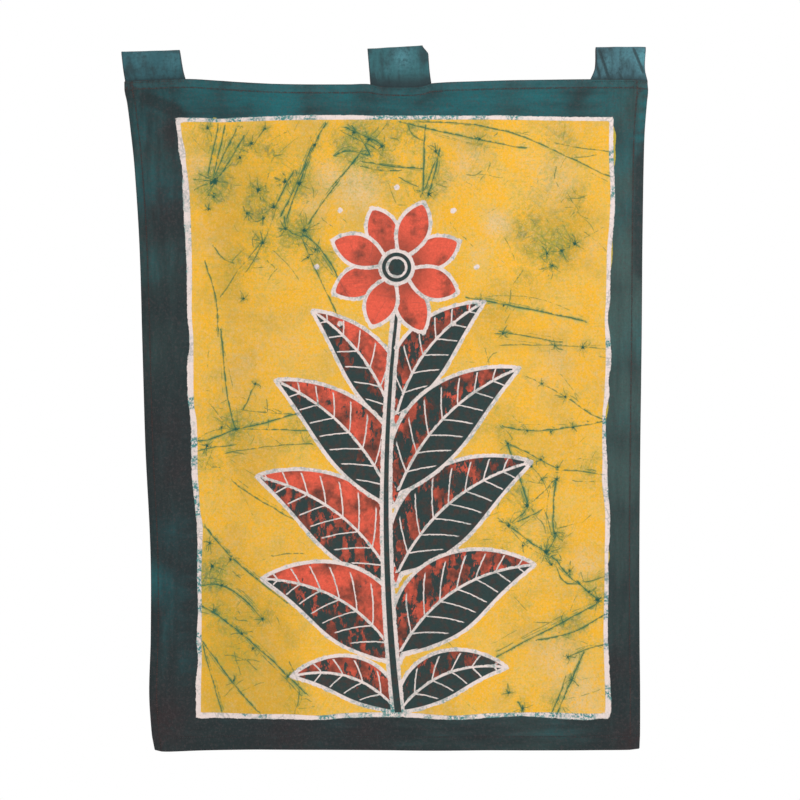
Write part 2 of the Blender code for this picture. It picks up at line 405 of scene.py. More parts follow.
# Soft patches of the yellow field: pale where little dye took, hazy where the green crept in
PALE_PATCHES = table_of(
    Stain,
    (-37, -150, 26, 0.9), (152, -128, 30, 0.7), (176, -112, 26, 0.5), (119, -197, 20, 0.9),
    (98, -232, 24, 0.5), (60, -150, 30, 0.5), (232, -218, 20, 0.5), (200, -300, 26, 0.5),
    (-222, -132, 20, 0.6), (-100, -170, 22, 0.5), (-70, -140, 24, 0.6), (-212, -232, 22, 0.4),
    (180, -352, 30, 0.5), (165, -375, 26, 0.4), (-110, -340, 26, 0.4), (166, -540, 24, 0.4),
    (146, -590, 26, 0.5), (224, -590, 20, 0.6), (200, -700, 36, 0.6), (216, -732, 40, 0.8),
    (182, -145, 40, 0.7), (90, -134, 34, 0.6), (228, -735, 22, 0.6),
)
HAZE_PATCHES = table_of(
    Stain,
    (-205, -150, 28, 1.0), (-190, -110, 28, 0.9), (-212, -90, 22, 0.6), (-150, -170, 30, 0.8),
    (-105, -150, 28, 0.8), (-112, -205, 28, 1.0), (-140, -215, 30, 0.7), (-170, -240, 26, 0.6),
    (-80, -240, 24, 0.6), (-30, -95, 30, 0.8), (-50, -110, 28, 0.9), (-140, -112, 26, 0.7),
    (182, -150, 30, 0.4), (92, -130, 26, 0.3), (147, -629, 30, 0.3), (-60, -110, 24, 0.6),
    (12, -88, 32, 0.8), (48, -140, 26, 0.8), (30, -160, 22, 0.5), (100, -100, 26, 0.5),
    (190, -105, 30, 0.6), (160, -200, 26, 0.9), (196, -195, 24, 0.8), (182, -216, 34, 1.0),
    (205, -165, 24, 0.5), (150, -262, 24, 0.4), (120, -285, 26, 0.4), (-180, -432, 30, 0.8),
    (-205, -412, 20, 0.4), (-140, -420, 20, 0.5), (-100, -430, 26, 0.6), (-210, -600, 30, 0.9),
    (-195, -650, 26, 0.7), (-180, -690, 26, 0.6), (-150, -640, 26, 0.5), (-110, -740, 20, 0.4),
    (130, -430, 26, 0.5), (130, -500, 26, 0.8), (150, -532, 20, 0.5), (230, -480, 22, 0.5),
    (185, -560, 20, 0.6), (230, -615, 18, 0.7), (205, -660, 26, 0.6), (120, -570, 30, 0.5),
    (190, -745, 20, 0.6), (-215, -470, 22, 0.6), (-30, -240, 24, 0.4), (-25, -125, 34, 0.9),
)
AMBER_PATCHES = table_of(
    Stain,
    (-187, -690, 60, 1.0), (-140, -725, 46, 0.9), (-205, -620, 46, 0.6), (-130, -660, 44, 0.5),
    (-205, -255, 40, 0.5), (-150, -130, 50, 0.5), (-180, -200, 40, 0.5), (150, -330, 50, 0.5),
    (140, -470, 44, 0.5), (-160, -500, 40, 0.4), (200, -200, 40, 0.5),
)

# The long cracks of the waxed field, by three places along each
Crack = namedtuple("Crack", "start_x start_z mid_x mid_z end_x end_z strength")
CRACKS = table_of(
    Crack,
    (-191, -79, -199, -112, -207, -147, 0.8), (-179, -88, -191, -111, -205, -143, 0.9),
    (-147, -88, -154, -98, -161, -108, 0.6), (-77, -82, -96, -122, -121, -189, 0.9),
    (-84, -98, -94, -120, -103, -148, 0.5), (-124, -189, -119, -204, -104, -211, 0.8),
    (-105, -211, -92, -240, -62, -303, 0.7), (-103, -209, -80, -229, -52, -278, 1.0),
    (-63, -258, -40, -243, -21, -240, 0.5), (-53, -86, -29, -96, -10, -107, 1.0),
    (-58, -90, -34, -102, -16, -112, 0.7), (-7, -82, -14, -92, -21, -98, 0.4),
    (-62, -115, -40, -112, -15, -113, 0.5), (-39, -118, -62, -147, -96, -196, 0.7),
    (-35, -130, -10, -135, 9, -135, 0.6), (-205, -222, -196, -235, -183, -241, 0.5),
    (-215, -240, -204, -279, -200, -324, 0.6), (-132, -174, -139, -196, -149, -219, 0.4),
    (-144, -211, -172, -244, -197, -279, 0.5), (-150, -218, -158, -236, -170, -254, 0.5),
    (9, -79, 96, -99, 153, -109, 0.8), (33, -79, 112, -86, 181, -109, 0.7),
    (181, -109, 218, -127, 251, -142, 0.6), (187, -103, 220, -109, 251, -114, 0.5),
    (54, -111, 49, -137, 41, -164, 0.9), (48, -127, 42, -145, 33, -164, 0.7),
    (9, -143, 19, -149, 29, -153, 0.5), (38, -84, 36, -120, 35, -162, 0.9),
    (-34, -125, 0, -130, 34, -133, 0.7), (-34, -110, -50, -132, -68, -152, 1.0),
    (-46, -84, -36, -98, -26, -116, 1.0), (-66, -118, -50, -112, -28, -118, 0.9),
    (18, -82, 22, -92, 34, -100, 0.8), (-200, -82, -206, -112, -212, -140, 0.8),
    (-170, -96, -186, -122, -200, -143, 0.9), (-92, -106, -104, -138, -128, -186, 1.0),
    (-114, -138, -122, -152, -134, -176, 0.8), (86, -281, 154, -294, 222, -308, 0.9),
    (100, -291, 122, -286, 140, -288, 0.4), (124, -320, 159, -326, 194, -332, 0.6),
    (124, -336, 188, -336, 245, -340, 0.4), (155, -372, 172, -380, 199, -395, 0.4),
    (205, -398, 222, -411, 242, -421, 0.6), (127, -429, 177, -433, 242, -423, 0.7),
    (131, -446, 138, -465, 156, -519, 1.0), (134, -449, 159, -461, 189, -477, 0.6),
    (190, -479, 215, -480, 242, -484, 0.6), (160, -475, 172, -490, 179, -504, 0.4),
    (189, -488, 185, -525, 187, -555, 0.9), (185, -491, 175, -503, 163, -514, 0.5),
    (174, -523, 180, -540, 184, -556, 0.6), (174, -523, 161, -531, 142, -539, 0.6),
    (156, -522, 148, -531, 138, -539, 0.8), (124, -538, 131, -540, 138, -544, 0.9),
    (138, -546, 165, -566, 189, -583, 1.0), (187, -556, 183, -565, 177, -573, 0.6),
    (189, -583, 200, -598, 216, -611, 0.8), (189, -590, 197, -608, 214, -610, 0.6),
    (213, -607, 226, -619, 236, -627, 1.0), (221, -608, 232, -605, 244, -601, 0.6),
    (195, -560, 210, -548, 228, -531, 0.3), (177, -574, 164, -586, 148, -602, 0.3),
    (240, -629, 196, -654, 121, -693, 0.9), (244, -645, 205, -666, 167, -674, 0.8),
    (244, -679, 225, -684, 202, -694, 0.5), (220, -689, 204, -725, 189, -761, 0.9),
    (199, -718, 192, -738, 184, -757, 0.7), (145, -746, 149, -753, 151, -760, 0.8),
    (-197, -318, -189, -394, -180, -432, 0.7), (-180, -432, -116, -416, -81, -399, 0.9),
    (-180, -432, -120, -433, -84, -435, 0.6), (-223, -446, -202, -441, -180, -432, 1.0),
    (-227, -458, -204, -453, -181, -450, 0.6), (-191, -460, -140, -452, -92, -449, 0.5),
    (-172, -410, -134, -414, -94, -417, 0.5), (-172, -410, -164, -394, -157, -380, 0.6),
    (-144, -399, -143, -417, -142, -433, 0.4), (-184, -491, -153, -513, -114, -535, 0.6),
    (-215, -544, -178, -585, -121, -631, 0.8), (-218, -612, -187, -616, -149, -650, 0.9),
    (-220, -636, -173, -667, -100, -735, 1.0), (-220, -674, -182, -725, -153, -757, 0.8),
    (-218, -679, -206, -722, -196, -756, 0.7), (-138, -578, -120, -575, -103, -575, 0.5),
    (-118, -700, -107, -730, -112, -757, 0.5),
)

# Knots on the cracks, where the dye pooled and short streaks burst out
Knot = namedtuple("Knot", "across height size")
KNOTS = table_of(
    Knot,
    (-204, -147, 5.2), (-205, -165, 2.4), (-211, -179, 2.0), (-175, -120, 2.2), (-162, -104, 2.6),
    (-146, -87, 2.2), (-212, -86, 2.6), (-154, -157, 3.0), (-136, -177, 3.2), (-148, -190, 2.4),
    (-107, -150, 3.2), (-123, -148, 2.8), (-89, -106, 2.4), (-149, -218, 3.4), (-167, -184, 2.0),
    (-101, -204, 3.8), (-123, -202, 2.2), (-88, -226, 2.8), (-97, -235, 2.0), (-171, -282, 2.0),
    (-27, -99, 3.6), (-12, -107, 3.0), (-44, -91, 2.8), (50, -113, 2.6), (42, -162, 2.8),
    (100, -99, 2.0), (195, -227, 3.2), (210, -219, 3.0), (178, -230, 2.2), (184, -244, 3.0),
    (101, -284, 2.0), (128, -290, 1.6), (127, -322, 2.0), (187, -336, 1.8), (219, -338, 2.6),
    (172, -380, 1.8), (199, -395, 2.2), (155, -434, 1.6), (182, -435, 1.6), (208, -430, 2.2),
    (133, -449, 2.4), (138, -465, 2.2), (160, -475, 2.6), (171, -467, 2.2), (190, -476, 2.0),
    (155, -520, 3.4), (189, -490, 2.6), (172, -490, 1.8), (187, -552, 2.6), (134, -543, 3.0),
    (177, -573, 3.6), (183, -588, 2.0), (150, -566, 1.6), (204, -595, 2.0), (226, -619, 2.2),
    (236, -628, 4.0), (-180, -432, 3.2), (-213, -451, 2.4), (-196, -430, 1.8), (-82, -400, 2.6),
    (-157, -380, 2.0), (-210, -563, 2.4), (-207, -590, 3.0), (-196, -612, 2.4), (-205, -640, 2.2),
    (-173, -667, 2.4), (-160, -684, 2.0), (-186, -582, 2.0), (-149, -650, 2.6), (-120, -716, 2.8),
    (-182, -721, 2.0), (202, -694, 2.4), (196, -654, 2.4), (150, -753, 3.0), (206, -720, 2.6),
    (134, -735, 2.0),
)


CRACK_REACH = 14.0
LONG_STEP, SHORT_STEP = 11.0, 9.0
LEAST_ROOM, RAY_ROOM = 6.5, 3.4
SCATTERED = 260
SLOPES = (-0.78, -0.62, 1.10, 0.06)


def line_gap(table, along, position, spills, side_name):
    """How far inside one waxed line each place is: plain for the dye, evened out for the wax."""
    keys = column_of(table, "along")
    inside = position - through(keys, column_of(table, "middle"), along)
    half = through(keys, column_of(table, "half_width"), along)
    spilled = inside.copy()
    for spill in spills:
        if spill.side == side_name:
            spilled += spill.reach * bump(along - spill.along, spill.half_length)
    return inside * LINE_HALF / half, spilled


def patches(table, x, z):
    """The strongest of some soft round patches at each place, from 0 to 1."""
    strongest = np.zeros_like(x)
    for spot in table:
        gap = np.hypot(x - spot.across, z - spot.height)
        strongest = np.maximum(strongest, spot.strength * bump(gap, spot.reach))
    return strongest


def crooked(crack, chance, bend, step):
    """A crack's points: a soft curve through its three places, shaken a little aside."""
    start = np.array([crack.start_x, crack.start_z], float)
    middle = np.array([crack.mid_x, crack.mid_z], float)
    end = np.array([crack.end_x, crack.end_z], float)
    pull = 2 * middle - (start + end) / 2
    length = np.hypot(*(end - start))
    count = max(3, int(length / step))
    share = np.linspace(0, 1, count + 1)[:, None]
    path = (1 - share) ** 2 * start + 2 * share * (1 - share) * pull + share**2 * end
    path[1:-1] += chance.normal(0, bend, (count - 1, 2))
    return path


def beside_segment(x, z, start, end):
    """How far along a segment each place is, how far off it, and on which side, 1 or -1."""
    run = end - start
    length = max(np.hypot(*run), 1e-6)
    near_x, near_z = x - start[0], z - start[1]
    along = np.clip((near_x * run[0] + near_z * run[1]) / length**2, 0, 1)
    gap = np.hypot(near_x - along * run[0], near_z - along * run[1])
    turn = np.where(near_x * run[1] - near_z * run[0] >= 0, 1.0, -1.0)
    return along, gap, turn


def crack_field(paths, x, z, reach):
    """Signed and plain distance from the nearest crack, and that crack's strength."""
    sided = np.full(x.shape, reach)
    plain = np.full(x.shape, reach)
    power = np.zeros(x.shape)
    for path, strength, _ in paths:
        for start, end in zip(path[:-1], path[1:]):
            low = np.minimum(start, end) - reach
            high = np.maximum(start, end) + reach
            near = (x > low[0]) & (x < high[0]) & (z > low[1]) & (z < high[1])
            _, gap, turn = beside_segment(x[near], z[near], start, end)
            closer = gap < plain[near]
            spots = np.flatnonzero(near.ravel())[closer.ravel()]
            plain.flat[spots] = gap[closer]
            sided.flat[spots] = (turn * gap)[closer]
            power.flat[spots] = strength
    return sided, plain, power


dye_x, dye_z = front_x.ravel(), front_z.ravel()
down = -dye_z


def mirrored(table):
    return [row._replace(middle=-row.middle) for row in table]


line_gaps = [
    line_gap(LEFT_LINE, down, dye_x, SPILLS, "left"),
    line_gap(TOP_LINE, dye_x, down, SPILLS, "top"),
    line_gap(mirrored(RIGHT_LINE), down, -dye_x, SPILLS, "right"),
    line_gap(mirrored(BOTTOM_LINE), dye_x, -down, SPILLS, "bottom"),
]
wax_gap = np.minimum.reduce([gaps[0] for gaps in line_gaps])
dye_gap = np.minimum.reduce([gaps[1] for gaps in line_gaps])


def note_cloth(name, *values):
    """Keeps numbers worked out on the front's grid on both faces of the cloth."""
    note(cloth_mesh, name, *[np.tile(value.ravel(), 2) for value in values])


chance = np.random.default_rng(11)
families = {"crack_" + letter: [] for letter in "abcdefgh"}


def add_crack(start, middle, end, bend, step, strength, least_room=0.0):
    """Puts a crack into the family whose other cracks keep farthest from it, if there is room."""
    path = crooked(Crack(*start, *middle, *end, strength), chance, bend, step)
    dense = np.concatenate([path, (path[1:] + path[:-1]) / 2])
    room = {}
    for name, others in families.items():
        room[name] = 1e3
        if others:
            spots = np.concatenate([other for _, _, other in others])
            gaps = np.abs(dense[:, None, :] - spots[None, :, :]).sum(axis=2)
            room[name] = gaps.min()
    best = max(room, key=room.get)
    if room[best] >= least_room:
        families[best].append((path, strength, dense))


def crack_places(crack):
    """The three places of a crack in the table, one to a row."""
    return np.array(crack[:6]).reshape(3, 2)


def towards(turn, reach):
    return reach * np.array([math.cos(turn), math.sin(turn)])


def add_hairline(start, turn_spread, reaches, aside, strongest):
    """A short faint crack on one of the slopes that the field's cracks follow."""
    turn = chance.choice(SLOPES) + chance.normal(0, turn_spread)
    ray = towards(turn, chance.uniform(*reaches))
    middle = start + ray / 2 + chance.normal(0, aside, 2)
    strength = chance.uniform(0.05, strongest)
    add_crack(start, middle, start + ray, 0.35, SHORT_STEP, strength, LEAST_ROOM)


for crack in CRACKS:
    add_crack(*crack_places(crack), 0.40, LONG_STEP, crack.strength)

# Strands beside the long cracks, rays out of the knots, and hairlines scattered over the field,
# closer together where the green crept in
for crack in CRACKS:
    for _ in range(int(1 + 3 * crack.strength)):
        beside = crack_places(crack) + chance.normal(0, 3.6, (3, 2))
        strength = chance.uniform(0.15, 0.45) * crack.strength
        add_crack(*beside, 0.35, SHORT_STEP, strength, LEAST_ROOM)
for knot in KNOTS:
    hub = np.array([knot.across, knot.height])
    for _ in range(int(4 + knot.size * 3)):
        ray = towards(chance.uniform(0, 2 * math.pi), knot.size * chance.uniform(1.8, 5.0))
        middle = hub + ray / 2 + chance.normal(0, 0.8, 2)
        strength = chance.uniform(0.15, 0.5)
        add_crack(hub + ray * 0.15, middle, hub + ray, 0.25, SHORT_STEP, strength, RAY_ROOM)
for spot in HAZE_PATCHES:
    for _ in range(int(14 * spot.strength)):
        start = np.array([spot.across, spot.height]) + chance.normal(0, spot.reach * 0.45, 2)
        add_hairline(start, 0.45, (6, 26), 1.4, 0.42)
for _ in range(SCATTERED):
    start = np.array([chance.uniform(-220, 245), chance.uniform(-755, -80)])
    add_hairline(start, 0.35, (8, 44), 2.0, 0.32)
for name, paths in families.items():
    note_cloth(name, *crack_field(paths, dye_x, dye_z, CRACK_REACH))

# The nearest knot to each place, as steps across and up to it in shares of its size
knot_across = np.full(dye_x.shape, 30.0)
knot_up = np.full(dye_x.shape, 30.0)
knot_gap = np.full(dye_x.shape, 30.0)
for knot in KNOTS:
    step_x, step_z = (dye_x - knot.across) / knot.size, (dye_z - knot.height) / knot.size
    gap = np.hypot(step_x, step_z)
    closer = gap < knot_gap
    knot_across[closer] = step_x[closer]
    knot_up[closer] = step_z[closer]
    knot_gap[closer] = gap[closer]
note_cloth("knot", knot_across, knot_up, knot_gap)

note_cloth("wax_line", wax_gap, dye_gap, patches(LINE_STAINS, dye_x, dye_z))
pale_share = np.tile(patches(PALE_PATCHES, dye_x, dye_z), 2)
haze_share = np.tile(patches(HAZE_PATCHES, dye_x, dye_z), 2)
reverse = np.repeat([0.0, 1.0], rows * columns)
note(cloth_mesh, "field_dye", pale_share, haze_share, reverse)
amber_share = patches(AMBER_PATCHES, dye_x, dye_z)
note_cloth("field_amber", amber_share, amber_share, amber_share)

# The plant: leaves behind and in front, then the stem and the flower
Leaf = namedtuple("Leaf", "base_x base_z tip_x tip_z half_width arch red")
BACK_LEAVES = table_of(
    Leaf,
    (3, -430, -92, -296, 29, 16, 0.75), (5, -415, 106, -286, 30, -18, 0.45),
    (4, -612, -156, -486, 42, 24, 0.85), (6, -598, 160, -470, 43, -24, 0.35),
    (6, -756, -116, -716, 25, 20, 0.55), (8, -756, 132, -706, 27, -20, 0.30),
)
FRONT_LEAVES = table_of(
    Leaf,
    (2, -520, -134, -376, 37, 20, 0.60), (6, -505, 146, -362, 38, -22, 0.40),
    (8, -700, -150, -604, 43, 26, 0.80), (8, -690, 164, -588, 44, -26, 0.45),
)
STEM = Leaf(9, -776, 5, -300, 6.2, -14, 0.15)
FLOWER_X, FLOWER_Z = 5.0, -246.0
PETALS = 8
PETAL_START, PETAL_END, PETAL_HALF = 12.0, 77.0, 18.5
DISC_RADIUS, RING_RADIUS = 19.0, 11.0
DOT_RING, DOT_RADIUS = 92.0, 1.6
VEIN_SLOPE = 0.85


Drawn = namedtuple("Drawn", "into rib run room red")


def leaf_drawn(x, z, leaf, profile, red):
    """One leaf: how far inside it each place is, and where beside its midrib."""
    start = np.array([leaf.base_x, leaf.base_z], float)
    end = np.array([leaf.tip_x, leaf.tip_z], float)
    run = end - start
    length = np.hypot(*run)
    aside = np.array([-run[1], run[0]]) / length
    pull = (start + end) / 2 - aside * leaf.arch * 2
    share = np.linspace(0, 1, 41)
    ribs = ((1 - share) ** 2)[:, None] * start + (2 * share * (1 - share))[:, None] * pull
    ribs = ribs + (share**2)[:, None] * end
    best = np.full(x.shape, 1e9)
    rib, at = np.zeros(x.shape), np.zeros(x.shape)
    for n in range(len(ribs) - 1):
        along, gap, turn = beside_segment(x, z, ribs[n], ribs[n + 1])
        closer = gap < best
        best = np.where(closer, gap, best)
        rib = np.where(closer, turn * gap, rib)
        at = np.where(closer, (n + along) / (len(ribs) - 1), at)
    width = leaf.half_width * profile(at)
    slope = leaf.half_width * (profile(np.minimum(at + 0.01, 1)) - profile(np.maximum(at - 0.01, 0)))
    slope = slope / (0.02 * length)
    into = (width - best) / np.sqrt(1 + np.minimum(slope**2, 4.0))
    room = np.clip(1 - np.abs(rib) / np.maximum(width, 1.0), 0, 1)
    return Drawn(into, rib, at * length - VEIN_SLOPE * np.abs(rib), room, red)


def leaf_profile(at):
    return np.sin(math.pi * np.clip(at, 0, 1) ** 0.8) ** 0.85


def petal_profile(at):
    return np.sin(math.pi * np.clip(at, 0, 1) ** 1.1) ** 0.7


def stem_profile(at):
    return 1.0 - 0.35 * at


LAYERS = ("back", "front", "stem", "even_petals", "odd_petals")
plant = {name: np.full(dye_x.shape, -60.0) for name in LAYERS}
plant["rib"] = np.full(dye_x.shape, 30.0)
plant.update({name: np.zeros(dye_x.shape) for name in ("run", "room", "red")})


def draw(layer, shape):
    """Adds one shape to its layer, and its ribs and redness over what lies beneath."""
    plant[layer] = np.maximum(plant[layer], shape.into)
    for name in ("rib", "run", "room", "red"):
        plant[name] = np.where(shape.into > 0, getattr(shape, name), plant[name])


for layer, leaves in (("back", BACK_LEAVES), ("front", FRONT_LEAVES)):
    for leaf in leaves:
        drawn = leaf_drawn(dye_x, dye_z, leaf, leaf_profile, leaf.red)
        lit_half = np.where(drawn.rib * np.sign(leaf.arch) > 0, leaf.red + 0.18, leaf.red - 0.30)
        draw(layer, drawn._replace(red=lit_half))
draw("stem", leaf_drawn(dye_x, dye_z, STEM, stem_profile, STEM.red)._replace(rib=30.0, room=0.0))
for number in (0, 2, 4, 6, 1, 3, 5, 7):
    turn = 2 * math.pi * (number + 0.5) / PETALS
    reach_x, reach_z = math.cos(turn), math.sin(turn)
    uneven = 1.0 + 0.05 * math.sin(number * 2.3)
    petal = Leaf(
        FLOWER_X + PETAL_START * reach_x,
        FLOWER_Z + PETAL_START * reach_z,
        FLOWER_X + PETAL_END * uneven * reach_x,
        FLOWER_Z + PETAL_END * uneven * reach_z,
        PETAL_HALF,
        1.0,
        1.35,
    )
    drawn = leaf_drawn(dye_x, dye_z, petal, petal_profile, petal.red)
    draw("odd_petals" if number % 2 else "even_petals", drawn._replace(rib=30.0, room=0.0))
dots = np.full(dye_x.shape, 60.0)
for number in range(PETALS):
    turn = 2 * math.pi * number / PETALS
    dot_x = FLOWER_X + DOT_RING * math.cos(turn)
    dot_z = FLOWER_Z + DOT_RING * math.sin(turn)
    dots = np.minimum(dots, np.hypot(dye_x - dot_x, dye_z - dot_z))
note_cloth("plant", plant["back"], plant["front"], plant["stem"])
note_cloth("flower", plant["even_petals"], plant["odd_petals"], dots)
note_cloth("plant_dye", plant["run"], plant["red"], plant["room"])
note_cloth("plant_rib", plant["rib"], np.abs(plant["rib"]), dots)

# Border dye: greener, paler and brown patches over nearly black, and painted shade in the groove along
# the right hem
TEAL_PATCHES = table_of(
    Stain,
    (-270, -52, 34, 0.45), (-215, -50, 46, 0.75), (-178, -54, 36, 0.85), (-135, -56, 44, 1.0),
    (-60, -48, 50, 0.8), (10, -52, 60, 0.75), (90, -52, 60, 0.9), (170, -52, 56, 0.8),
    (240, -52, 44, 0.6), (-292, -90, 34, 0.5), (-280, -150, 44, 0.55), (-284, -240, 34, 0.35),
    (-272, -610, 34, 0.55), (-258, -560, 34, 0.35), (-262, -660, 36, 0.28), (-240, -700, 26, 0.3),
    (270, -110, 40, 0.55), (270, -180, 40, 0.40), (284, -330, 30, 0.45), (272, -420, 26, 0.25),
    (290, -44, 8, 0.9), (290, -58, 8, 1.1), (289, -72, 9, 1.2), (289, -84, 8, 1.2),
    (288, -96, 8, 0.9), (-60, -776, 36, 0.15), (110, -778, 40, 0.12), (190, -780, 36, 0.18),
    (-132, -60, 16, 1.3),
)
LIGHT_PATCHES = table_of(
    Stain,
    (-290, -130, 60, 0.35), (-280, -240, 50, 0.35), (-270, -340, 50, 0.25), (150, -50, 60, 0.30),
    (270, -70, 60, 0.50), (268, -150, 60, 0.75), (268, -230, 60, 0.95), (268, -310, 60, 1.0),
    (266, -400, 60, 0.80), (266, -480, 60, 0.70), (264, -560, 60, 0.50), (262, -640, 50, 0.30),
    (160, -785, 60, 0.30), (60, -785, 50, 0.15), (-60, -50, 60, 0.15),
)
# The column of small brown patches at 280 to 284 across, from 90 to 250 down, paints shade in the
# groove along the right hem; the other rows are brown stains
BROWN_PATCHES = table_of(
    Stain,
    (-262, -175, 24, 0.5), (-254, -430, 26, 0.5), (-246, -480, 26, 0.5), (-262, -765, 30, 0.9),
    (-120, -785, 34, 0.6), (272, -788, 22, 0.8), (256, -705, 20, 0.5), (284, -90, 6, 1.0),
    (284, -106, 6, 1.0), (284, -122, 6, 1.0), (283, -138, 6, 0.9), (283, -154, 6, 0.9),
    (282, -170, 6, 0.9), (282, -186, 6, 0.8), (281, -202, 6, 0.8), (281, -218, 6, 0.8),
    (280, -234, 6, 0.7), (280, -250, 6, 0.5), (-255, -95, 18, 0.4), (-30, -784, 30, 0.5),
    (-10, -43, 12, 0.5),
)
# Darker strokes of the brush, laid like creases. The first row paints shade in the fold running from
# the left tab, the row along the top edge under the middle tab paints shade with some darker dye, and
# the two rows along the right hem paint shade in the groove there.
DARK_STROKES_AND_SHADE = table_of(
    Crease,
    (-292, -46, -230, -78, 7.0, 0.75), (-250, -70, -150, -72, 4.0, 0.5),
    (-300, -70, -282, -200, 6.0, 0.25), (-268, -120, -250, -330, 5.0, 0.20),
    (-22, -36.2, 40, -36.2, 3.4, 1.5), (282, -94, 280, -275, 4.4, 1.6),
    (287, -96, 285, -275, 5.0, 1.8), (-140, -41, 20, -43, 2.2, 0.4), (60, -62, 240, -58, 5.0, 0.35),
    (-258, -700, -246, -600, 6.0, 0.4), (262, -260, 258, -420, 4.0, 0.4),
    (276, -420, 272, -640, 4.0, 0.35), (-200, -790, -60, -788, 5.0, 0.4),
)
# Painted shade of small puckers where the row of stitching draws the hem up under the left tab
PUCKER_SHADES = tuple(Crease(x, -29.5, x + 1.0, -34.5, 1.5, 0.8) for x in range(-303, -240, 7))
border_dye_and_shade = [patches(table, dye_x, dye_z) for table in (TEAL_PATCHES, LIGHT_PATCHES, BROWN_PATCHES)]
note_cloth("border_dye_and_shade", *border_dye_and_shade)
# Painted shade for the border: darker in the troughs of the creases, in the shade rows of the strokes
# above and in the puckers
crease_relief_and_shade = np.clip(crease_depth(CREASES, dye_x, dye_z), 0.0, 1.5)
crease_relief_and_shade = np.maximum(crease_relief_and_shade, crease_depth(DARK_STROKES_AND_SHADE + PUCKER_SHADES, dye_x, dye_z))
seam_gap = np.minimum.reduce([np.abs(gap) for gap in seam_gaps(side, fall)])
note_cloth("hem", edge_gap, crease_relief_and_shade, seam_gap)


class Graph:
    """Adds nodes to one node tree, fed by plain numbers or by other nodes' outputs."""

    def __init__(self, tree):
        self.tree = tree

    def add(self, kind, **settings):
        node = self.tree.nodes.new(kind)
        for name, value in settings.items():
            setattr(node, name, value)
        return node

    def feed(self, socket, value):
        if isinstance(value, bpy.types.NodeSocket):
            self.tree.links.new(value, socket)
        else:
            socket.default_value = value

    def length(self, across, up):
        squares = self.maths("ADD", self.times(across, across), self.times(up, up))
        return self.maths("SQRT", squares)

    def maths(self, operation, *values):
        node = self.add("ShaderNodeMath", operation=operation)
        for socket, value in zip(node.inputs, values):
            self.feed(socket, value)
        return node.outputs[0]

    def plus(self, first, second):
        return self.maths("ADD", first, second)

    def minus(self, first, second):
        return self.maths("SUBTRACT", first, second)

    def scaled(self, value, size, start):
        """The value times size, plus start."""
        return self.maths("MULTIPLY_ADD", value, size, start)

    def times(self, *values):
        product = values[0]
        for value in values[1:]:
            product = self.maths("MULTIPLY", product, value)
        return product

    def most(self, *values):
        largest = values[0]
        for value in values[1:]:
            largest = self.maths("MAXIMUM", largest, value)
        return largest

    def ease(self, value, low, high):
        """A soft step: 0 at low and 1 at high, whichever of them is the larger."""
        node = self.add("ShaderNodeMapRange", interpolation_type="SMOOTHSTEP")
        for name, amount in (("Value", value), ("From Min", low), ("From Max", high)):
            self.feed(node.inputs[name], amount)
        return node.outputs[0]

    def mix(self, share, first, second):
        node = self.add("ShaderNodeMix", data_type="RGBA")
        self.feed(node.inputs[0], share)
        self.feed(node.inputs[6], first)
        self.feed(node.inputs[7], second)
        return node.outputs[2]

    def laid(self, under, colour, value, low, high, most):
        """A colour laid over another, at most so strongly, where a value goes from low to high."""
        return self.mix(self.times(self.ease(value, low, high), most), under, colour)

    def tinted(self, colour, value):
        """The colour made lighter or darker by a number near 1."""
        node = self.add("ShaderNodeVectorMath", operation="SCALE")
        self.feed(node.inputs[0], colour)
        self.feed(node.inputs["Scale"], value)
        return node.outputs[0]

    def toned(self, colour, value, size, start):
        """The colour made lighter or darker by the value times size, plus start."""
        return self.tinted(colour, self.scaled(value, size, start))

    def vector(self, *values):
        node = self.add("ShaderNodeCombineXYZ")
        for socket, value in zip(node.inputs, values):
            self.feed(socket, value)
        return node.outputs[0]

    def noise(self, place, scale, detail=2.0, roughness=0.5):
        node = self.add("ShaderNodeTexNoise")
        self.feed(node.inputs["Vector"], place)
        self.feed(node.inputs["Scale"], scale)
        self.feed(node.inputs["Detail"], detail)
        self.feed(node.inputs["Roughness"], roughness)
        return node.outputs[0]

    def streaks(self, place, stretch, detail=2.0, roughness=0.5):
        """Noise on a place stretched by three numbers, so that it runs in streaks."""
        node = self.add("ShaderNodeVectorMath", operation="MULTIPLY")
        self.feed(node.inputs[0], place)
        node.inputs[1].default_value = stretch
        return self.noise(node.outputs[0], 1.0, detail, roughness)

    def parts(self, vector):
        node = self.add("ShaderNodeSeparateXYZ")
        self.feed(node.inputs[0], vector)
        return node.outputs

    def noted(self, name):
        node = self.add("ShaderNodeAttribute", attribute_name=name)
        return self.parts(node.outputs["Vector"])

    def group(self, tree, **values):
        node = self.add("ShaderNodeGroup", node_tree=tree)
        for name, value in values.items():
            self.feed(node.inputs[name], value)
        return node.outputs


def new_material(name):
    """A new material, with the graph of its nodes and its shader."""
    material = bpy.data.materials.new(name)
    material.use_nodes = True
    shader = material.node_tree.nodes["Principled BSDF"]
    return material, Graph(material.node_tree), shader


def new_group(name, inputs, outputs):
    """A shader group with named sockets; gives its graph, its inputs and its output node."""
    tree = bpy.data.node_groups.new(name, "ShaderNodeTree")
    for label, kind in inputs:
        tree.interface.new_socket(name=label, in_out="INPUT", socket_type=kind)
    for label, kind in outputs:
        tree.interface.new_socket(name=label, in_out="OUTPUT", socket_type=kind)
    graph = Graph(tree)
    return graph, graph.add("NodeGroupInput").outputs, graph.add("NodeGroupOutput").inputs


VALUE, VECTOR, COLOUR = "NodeSocketFloat", "NodeSocketVector", "NodeSocketColor"
THREAD_PITCH = 0.00046
THREAD_RELIEF = 0.00012


